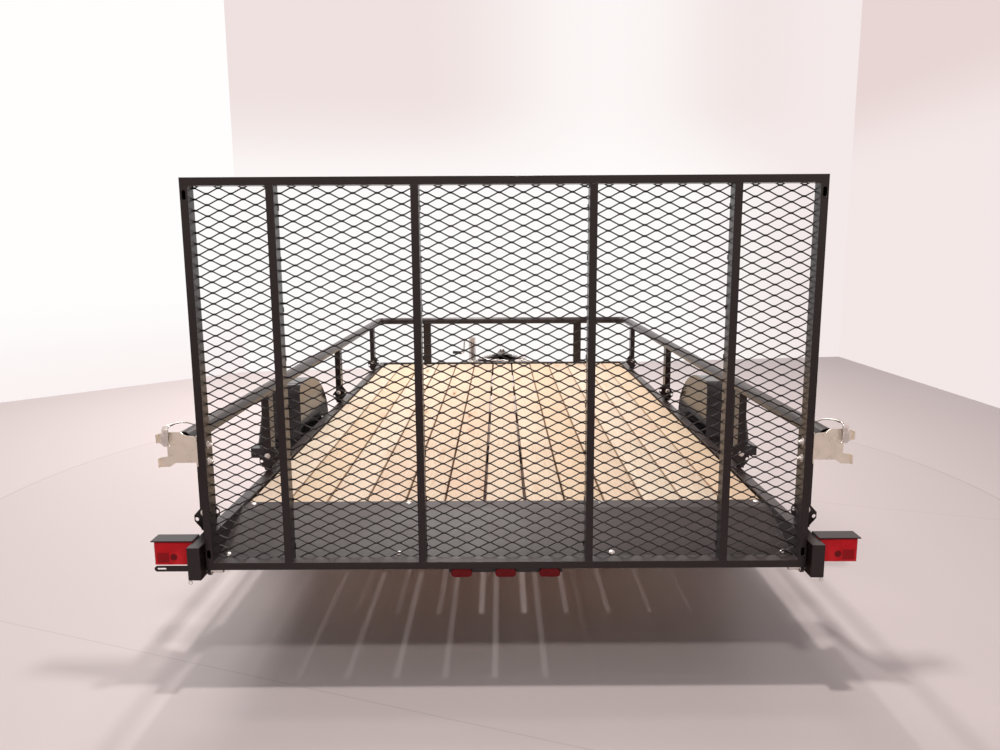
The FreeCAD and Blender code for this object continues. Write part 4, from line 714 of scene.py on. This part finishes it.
# a small block joins the strap to the wire: its stations, its heights and how far in it reaches
BLOCK_STATIONS, BLOCK_HEIGHTS, BLOCK_IN = (0.010, 0.0175), (0.822, 0.842), 0.014
latch_bolts = bmesh.new()
latch_hooks = bmesh.new()
latch_wires = bmesh.new()
for side in (-1, 1):
    for z in LATCH_BOLTS:
        at = Vector((side * (gate_side - GATE_TUBE), gate_low.y + GATE_DEEP / 2, z))
        inwards = (-side, 0, 0)
        add_bolt(latch_bolts, at, inwards, flats=0.0135, tall=0.0075, washer=0.0118)
        add_lathe(latch_bolts, THREAD_END, at, inwards, 12)
        add_bolt(latch_bolts, (side * (gate_side + LATCH_PLATE), at.y, z), (side, 0, 0),
                 flats=0.0135, tall=0.006, washer=0.010)
    x = side * STRAP_SIDE
    rows = []
    for i, (station, z) in enumerate(BEND):
        before, after = BEND[max(i - 1, 0)], BEND[min(i + 1, len(BEND) - 1)]
        ahead = Vector((0, after[0] - before[0], after[1] - before[1])).normalized()
        out = Vector((1, 0, 0)).cross(ahead) * (STRAP_THICK / 2)
        half = STRAP_WIDE / 2 * (STRAP_END_SHARE if i in (0, len(BEND) - 1) else 1.0)
        lean = side * (-STRAP_LEAN if i < 3 else 0.0)
        at = Vector((x + lean, bed_rear + station, z))
        rows.append([latch_hooks.verts.new(at + Vector((dx, 0, 0)) + o * out)
                     for dx, o in ((-half, 1), (half, 1), (half, -1), (-half, -1))])
    for low, high in zip(rows, rows[1:]):
        for k in range(4):
            latch_hooks.faces.new((low[k], low[(k + 1) % 4], high[(k + 1) % 4], high[k]))
    latch_hooks.faces.new(rows[0][::-1])
    latch_hooks.faces.new(rows[-1])
    block_sides = sorted((x, x - side * BLOCK_IN))
    low, high = zip(block_sides, [bed_rear + station for station in BLOCK_STATIONS], BLOCK_HEIGHTS)
    add_box(latch_hooks, low, high, bevel=0.002)
    add_tube(latch_wires, [(side * across, bed_rear + station, z) for across, station, z in SPRING], SPRING_WIRE, 8)
settle(latch_bolts, "latch_bolts", bright_zinc, "gate")
settle(latch_hooks, "latch_straps", bright_zinc, "gate", smooth=50)
settle(latch_wires, "latch_wires", bright_zinc, "gate", smooth=60)

# ---------------------------------------------------------------- lights
# Tail lights are sealed red plastic boxes: a bulb behind a lens with fine upright prisms, and a
# flat reflector beside it. Three small oval markers sit on a bar under the plate.
lens_red, lens_shader, start = finish("red_lens", (0.45, 0.006, 0.012), 0.2, Specular_IOR_Level=0.16)
across, along, height = spot_on(start)[1:]
away = abs(across)


def between(signal, low, high, soft=0.002):
    """1 from one value to another, and 0 outside them."""
    return ease(signal, low - soft, low + soft) * ease(signal, high + soft, high - soft)


# the bulb's place across, height and radius, and the reflector's two sides and two heights
BULB = (1.014, 0.432, 0.0115)
REFLECTOR_SIDES, REFLECTOR_HEIGHTS = (1.028, 1.064), (0.414, 0.446)
COLUMN_SIDE = 0.998
MARKERS_SHADED_WITHIN = 0.5
PRISMS = 900.0
bulb_distance = start.node("ShaderNodeVectorMath", {"operation": "LENGTH"},
                           {0: vector(away - BULB[0], height - BULB[1], 0.0)}, 1)
bulb = ease(bulb_distance, BULB[2] * 1.15, BULB[2] * 0.7)
panel = between(away, *REFLECTOR_SIDES) * between(height, *REFLECTOR_HEIGHTS)
# painted light shining through the lens: brighter red in patches, and in a column beside the bulb
glowing = noise(start, vector(away * 1.0, along, height * 2.2), 22.0, 2.0)
lit_column = ease(abs(away - COLUMN_SIDE), 0.020, 0.004) * ease(height, 0.47, 0.43)
red = blend_colour(glowing, (0.62, 0.007, 0.014), (0.90, 0.014, 0.024))
red = blend_colour(lit_column * 0.6, red, (1.0, 0.030, 0.040))
red = blend_colour(panel * 0.7, red, (0.26, 0.004, 0.008))
red = blend_colour(bulb * 0.85, red, (0.10, 0.004, 0.006))
# painted shade: the markers under the plate are darker red
red = blend_colour(away < MARKERS_SHADED_WITHIN, red, (0.24, 0.004, 0.008))
feed(red, lens_shader, "Base Color")
upright, level = [axis.math("SINE", axis * PRISMS) for axis in (away, height)]
prisms = upright * (1 - panel) + level * panel
bump(prisms * 0.5 + 0.5, lens_shader, 0.0004, 0.5, rounded(start, 0.002))
paint(lens_red, "lamp_lenses")
lamp_black, lamp_shader, start = finish("lamp_black", (0.018, 0.015, 0.015), 0.45)
spot = spot_on(start)[0]
pebble = noise(start, spot, 500.0, 2.0)
feed(0.40 + pebble * 0.2, lamp_shader, "Roughness")
feed(blend_colour(noise(start, spot, 12.0), (0.016, 0.013, 0.013), (0.024, 0.020, 0.020)), lamp_shader, "Base Color")
bump(pebble, lamp_shader, 0.0002, 0.4, rounded(start, 0.002))
paint(lamp_black, "tail_light_housings", "marker_light_bar")
# a bright zinc strip on the bar's rear face near its top stands in for a highlight: painted highlight
# how far the bright strip stands proud of the bar, and its bottom and top below the bar's own
HIGHLIGHT_STRIP_PROUD, HIGHLIGHT_STRIP_BOTTOM, HIGHLIGHT_STRIP_TOP = 0.0012, 0.006, 0.002
strip_low, strip_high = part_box("marker_light_bar")
marker_trim = bmesh.new()
add_box(marker_trim, (strip_low.x, strip_low.y - HIGHLIGHT_STRIP_PROUD, strip_high.z - HIGHLIGHT_STRIP_BOTTOM),
        (strip_high.x, strip_low.y, strip_high.z - HIGHLIGHT_STRIP_TOP), bevel=0.0004)
settle(marker_trim, "marker_trim", bright_zinc, "chassis")

# ---------------------------------------------------------------- fenders
# Each fender is one moulding of glossy black polyethylene, bolted to two arms on the rail.
# Its skin keeps the mould's slight waves, and dust settles on the flat top and the steps.
MOULDED, FENDER_DUST = (0.011, 0.0095, 0.0105), (0.30, 0.26, 0.24)
moulded_black, fender_shader, start = finish("moulded_black", MOULDED, 0.2)
spot = spot_on(start)[0]
film = facing_up(start) * noise(start, spot, 14.0, 4.0) * 0.10
feed(blend_colour(film, MOULDED, FENDER_DUST), fender_shader, "Base Color")
feed(0.10 + film * 1.2 + noise(start, spot, 6.0) * 0.08, fender_shader, "Roughness")
bump(noise(start, spot, 5.0, 1.0) + noise(start, spot, 380.0, 1.0) * 0.02, fender_shader, 0.004, 0.35,
     rounded(start, 0.004))
paint(moulded_black, "fender_left", "fender_right")
ARM_END, ARM_EDGE, ARM_THICK = 0.030, 0.012, 0.005
arm_low, arm_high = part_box("fender_brackets")
fender_bolts = bmesh.new()
for side in (-1, 1):
    for y in (arm_low.y + ARM_END, arm_high.y - ARM_END):
        for z in (arm_low.z + ARM_EDGE, arm_high.z - ARM_EDGE):
            add_bolt(fender_bolts, (side * (outer + ARM_THICK), y, z), (side, 0, 0),
                     flats=0.013, tall=0.005, washer=0.0095)
settle(fender_bolts, "fender_bolts", bright_zinc, "chassis")

# ---------------------------------------------------------------- wheels
# A bias-ply trailer tyre on a pressed steel rim: four plain grooves round the tread, short cross
# cuts along its ribs and fine rings on the side walls.
rubber, rubber_shader, start = finish("rubber", (0.016, 0.0145, 0.014), 0.78)
spot = spot_on(start)[0]
dust = noise(start, spot, 8.0, 4.0)
feed(blend_colour(dust * 0.35, (0.014, 0.0125, 0.012), (0.060, 0.052, 0.047)), rubber_shader, "Base Color")
feed(0.66 + dust * 0.25, rubber_shader, "Roughness")
bump(noise(start, spot, 260.0, 3.0), rubber_shader, 0.0003, 0.5)

# half of the section, outwards from the middle of the tread: (distance across, radius, kind of rubber)
TYRE_HALF = [(0.000, 0.2983, "rib"), (0.011, 0.2981, "rib"), (0.0125, 0.2915, "groove"), (0.0165, 0.2915, "groove"),
             (0.018, 0.2977, "rib"), (0.033, 0.2968, "rib"), (0.0345, 0.2905, "groove"), (0.0385, 0.2903, "groove"),
             (0.040, 0.2958, "rib"), (0.054, 0.2940, "shoulder"), (0.0615, 0.2900, "shoulder"),
             (0.069, 0.2845, "cut"), (0.0755, 0.2770, "cut"), (0.0795, 0.2680, "wall"), (0.0830, 0.2570, "wall"),
             (0.0858, 0.2440, "wall"), (0.0868, 0.2350, "ring"), (0.0880, 0.2335, "ring"), (0.0880, 0.2300, "ring"),
             (0.0868, 0.2285, "ring"), (0.0866, 0.2180, "wall"), (0.0845, 0.2060, "wall"), (0.0795, 0.1950, "wall"),
             (0.0715, 0.1860, "wall"), (0.0640, 0.1800, "ring"), (0.0618, 0.1775, "ring"), (0.0580, 0.1765, "wall"),
             (0.0545, 0.1745, "wall"), (0.0532, 0.1660, "wall")]
TREAD_CUTS, CUT_DEEP = 72, 0.0045
STEPS_PER_CUT = 4
tyre_low, tyre_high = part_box("tyre_left")
wheel_z = (tyre_low.z + tyre_high.z) / 2
wheel_y = (tyre_low.y + tyre_high.y) / 2
wheel_x = (tyre_high.x + tyre_low.x) / -2
section = [(-x, r, kind) for x, r, kind in TYRE_HALF[:0:-1]] + TYRE_HALF
# how deep a cross cut runs in each kind of rubber
CUT_SHARE = {"rib": 0.5, "shoulder": 1.0, "cut": 1.0}
for side, name in ((-1, "left"), (1, "right")):
    tyre = bmesh.new()
    turns = TREAD_CUTS * STEPS_PER_CUT
    rings = []
    for i in range(turns):
        angle = math.tau * i / turns
        ring = []
        for x, radius, kind in section:
            # the two halves' cuts lie between each other
            in_cut = (i + (STEPS_PER_CUT // 2 if x > 0 else 0)) % STEPS_PER_CUT == 0
            r = radius - (CUT_DEEP * CUT_SHARE.get(kind, 0) if in_cut else 0)
            at = (side * wheel_x + x, wheel_y + r * math.cos(angle), wheel_z + r * math.sin(angle))
            ring.append(tyre.verts.new(at))
        rings.append(ring)
    for i, ring in enumerate(rings):
        after = rings[(i + 1) % turns]
        for k in range(len(section) - 1):
            tyre.faces.new((ring[k], ring[k + 1], after[k + 1], after[k]))
        tyre.faces.new((ring[-1], ring[0], after[0], after[-1]))
    treaded = settle(tyre, f"tyre_tread_{name}", rubber, f"wheel_{name}", smooth=32)
    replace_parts(treaded, f"tyre_{name}")

# Rims are sprayed silver over steel; a black rubber valve stands in each.
silver, silver_shader, start = finish("silver_paint", (0.50, 0.50, 0.51), 0.34, 0.55)
spot = spot_on(start)[0]
flake = noise(start, spot, 900.0, 2.0)
feed(blend_colour(noise(start, spot, 7.0), (0.46, 0.46, 0.47), (0.54, 0.54, 0.55)), silver_shader, "Base Color")
feed(0.28 + flake * 0.14, silver_shader, "Roughness")
bump(flake, silver_shader, 0.0001, 0.3, rounded(start, 0.002))
paint(silver, "rim_left", "rim_right")
paint(bright_zinc, "hub_left", "hub_right")
VALVE = [(0, 0.0070), (0.004, 0.0078), (0.008, 0.0055), (0.022, 0.0042), (0.030, 0.0040), (0.032, 0.0032), (0.032, 0)]
VALVE_OUT, VALVE_RADIUS, VALVE_SLANT = 0.014, 0.136, -0.35
for side, name in ((-1, "left"), (1, "right")):
    valve = bmesh.new()
    seat = (side * (wheel_x + VALVE_OUT), wheel_y, wheel_z + VALVE_RADIUS)
    add_lathe(valve, VALVE, seat, Vector((side, 0, VALVE_SLANT)).normalized(), 16)
    settle(valve, f"valve_{name}", rubber, f"wheel_{name}")

# ---------------------------------------------------------------- tongue
# The A-frame carries the coupler with its latch lever, the jack, and two safety chains.
# While the trailer is parked, each hangs from one member to the other and lies forward along it.
paint(bright_zinc, "jack_tube", "jack_leg", "jack_bracket", "coupler_latch")
crank_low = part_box("jack_crank")[0]
crank_metal, crank_shader, start = finish("crank_metal", (0.78, 0.74, 0.70), 0.30, 1.0)
spot, across, along, height = spot_on(start)
GRIP_TALL, GRIP_LONG = 0.0265, 0.0740
grip_top, grip_end = crank_low.z + GRIP_TALL, crank_low.x + GRIP_LONG
grip = ease(height, grip_top + 0.0006, grip_top) * ease(across, grip_end + 0.0005, grip_end - 0.0005)
cloud = noise(start, spot, 34.0, 4.0)
zinc_colour = blend_colour(cloud, (0.64, 0.61, 0.57), (0.80, 0.76, 0.72))
feed(blend_colour(grip, zinc_colour, (0.012, 0.011, 0.011)), crank_shader, "Base Color")
feed(1 - grip, crank_shader, "Metallic")
feed(0.28 + grip * 0.3 + cloud * 0.08, crank_shader, "Roughness")
bump(across.math("SINE", across * 2400.0) * grip, crank_shader, 0.0004, 0.5, rounded(start, 0.0015))
paint(crank_metal, "jack_crank")

LINK_HALF, LINK_WIDE, LINK_WIRE = 0.0105, 0.0095, 0.0032
LINK_STEP, LINK_TURN = 0.0265, 6
chain_chance = random.Random(11)
chains = bmesh.new()


def add_link(mesh, at, ahead, up):
    """One welded link: two straight sides and two half turns of wire."""
    across = ahead.cross(up).normalized()
    path = []
    for end in (-1, 1):
        for i in range(LINK_TURN + 1):
            a = math.pi * (i / LINK_TURN - 0.5)
            path.append(at + ahead * (end * (LINK_HALF + (LINK_WIDE - LINK_WIRE) * math.cos(a)))
                        + across * (end * (LINK_WIDE - LINK_WIRE) * math.sin(a)))
    add_tube(mesh, path, LINK_WIRE, 8, closed=True)


def add_chain(mesh, points):
    """Links at equal steps along a line, every other one turned on edge."""
    points = [Vector(point) for point in points]
    gone, flat = LINK_STEP / 2, True
    for a, b in zip(points, points[1:]):
        ahead = (b - a).normalized()
        while gone < (b - a).length:
            side = ahead.cross(Vector((0, 0, 1))).normalized()
            up = side.cross(ahead) if flat else side
            up = up.lerp(side if flat else side.cross(ahead), chain_chance.uniform(-0.25, 0.25)).normalized()
            add_link(mesh, a + ahead * gone, ahead, up)
            gone, flat = gone + LINK_STEP, not flat
        gone -= (b - a).length


# how far ahead of the frame each chain is bolted to one member, meets the other, and ends
BOLTED_AT, LAID_AT, TAIL_AT = 0.375, 0.50, 0.70
MEMBER_MIDDLE = 0.019
# the members' outer faces would meet at the apex, this far behind the coupler's nose
APEX_BACK, TONGUE_ANGLE = 0.090, math.radians(25)
CHAIN_GAP, HUNG_STEPS = 0.0005, 16
apex = cad_high.y - APEX_BACK
tongue_slope = math.tan(TONGUE_ANGLE)
for side, sag in ((-1, 0.034), (1, 0.010)):
    bolted, laid, tail = [Vector((x_side * ((apex - frame_front - ahead) * tongue_slope - MEMBER_MIDDLE),
                                  frame_front + ahead, tongue_high.z + LINK_WIDE + CHAIN_GAP))
                          for x_side, ahead in ((side, BOLTED_AT), (-side, LAID_AT), (-side, TAIL_AT))]
    shares = [i / HUNG_STEPS for i in range(HUNG_STEPS + 1)]
    hung = [bolted.lerp(laid, share) - Vector((0, 0, sag * (1 - (2 * share - 1) ** 2))) for share in shares]
    add_chain(chains, hung + [tail])
    add_bolt(chains, (bolted.x, bolted.y, tongue_high.z), (0, 0, 1), flats=0.019, tall=0.011, washer=0.017)
settle(chains, "safety_chains", bright_zinc, "chassis", smooth=60)
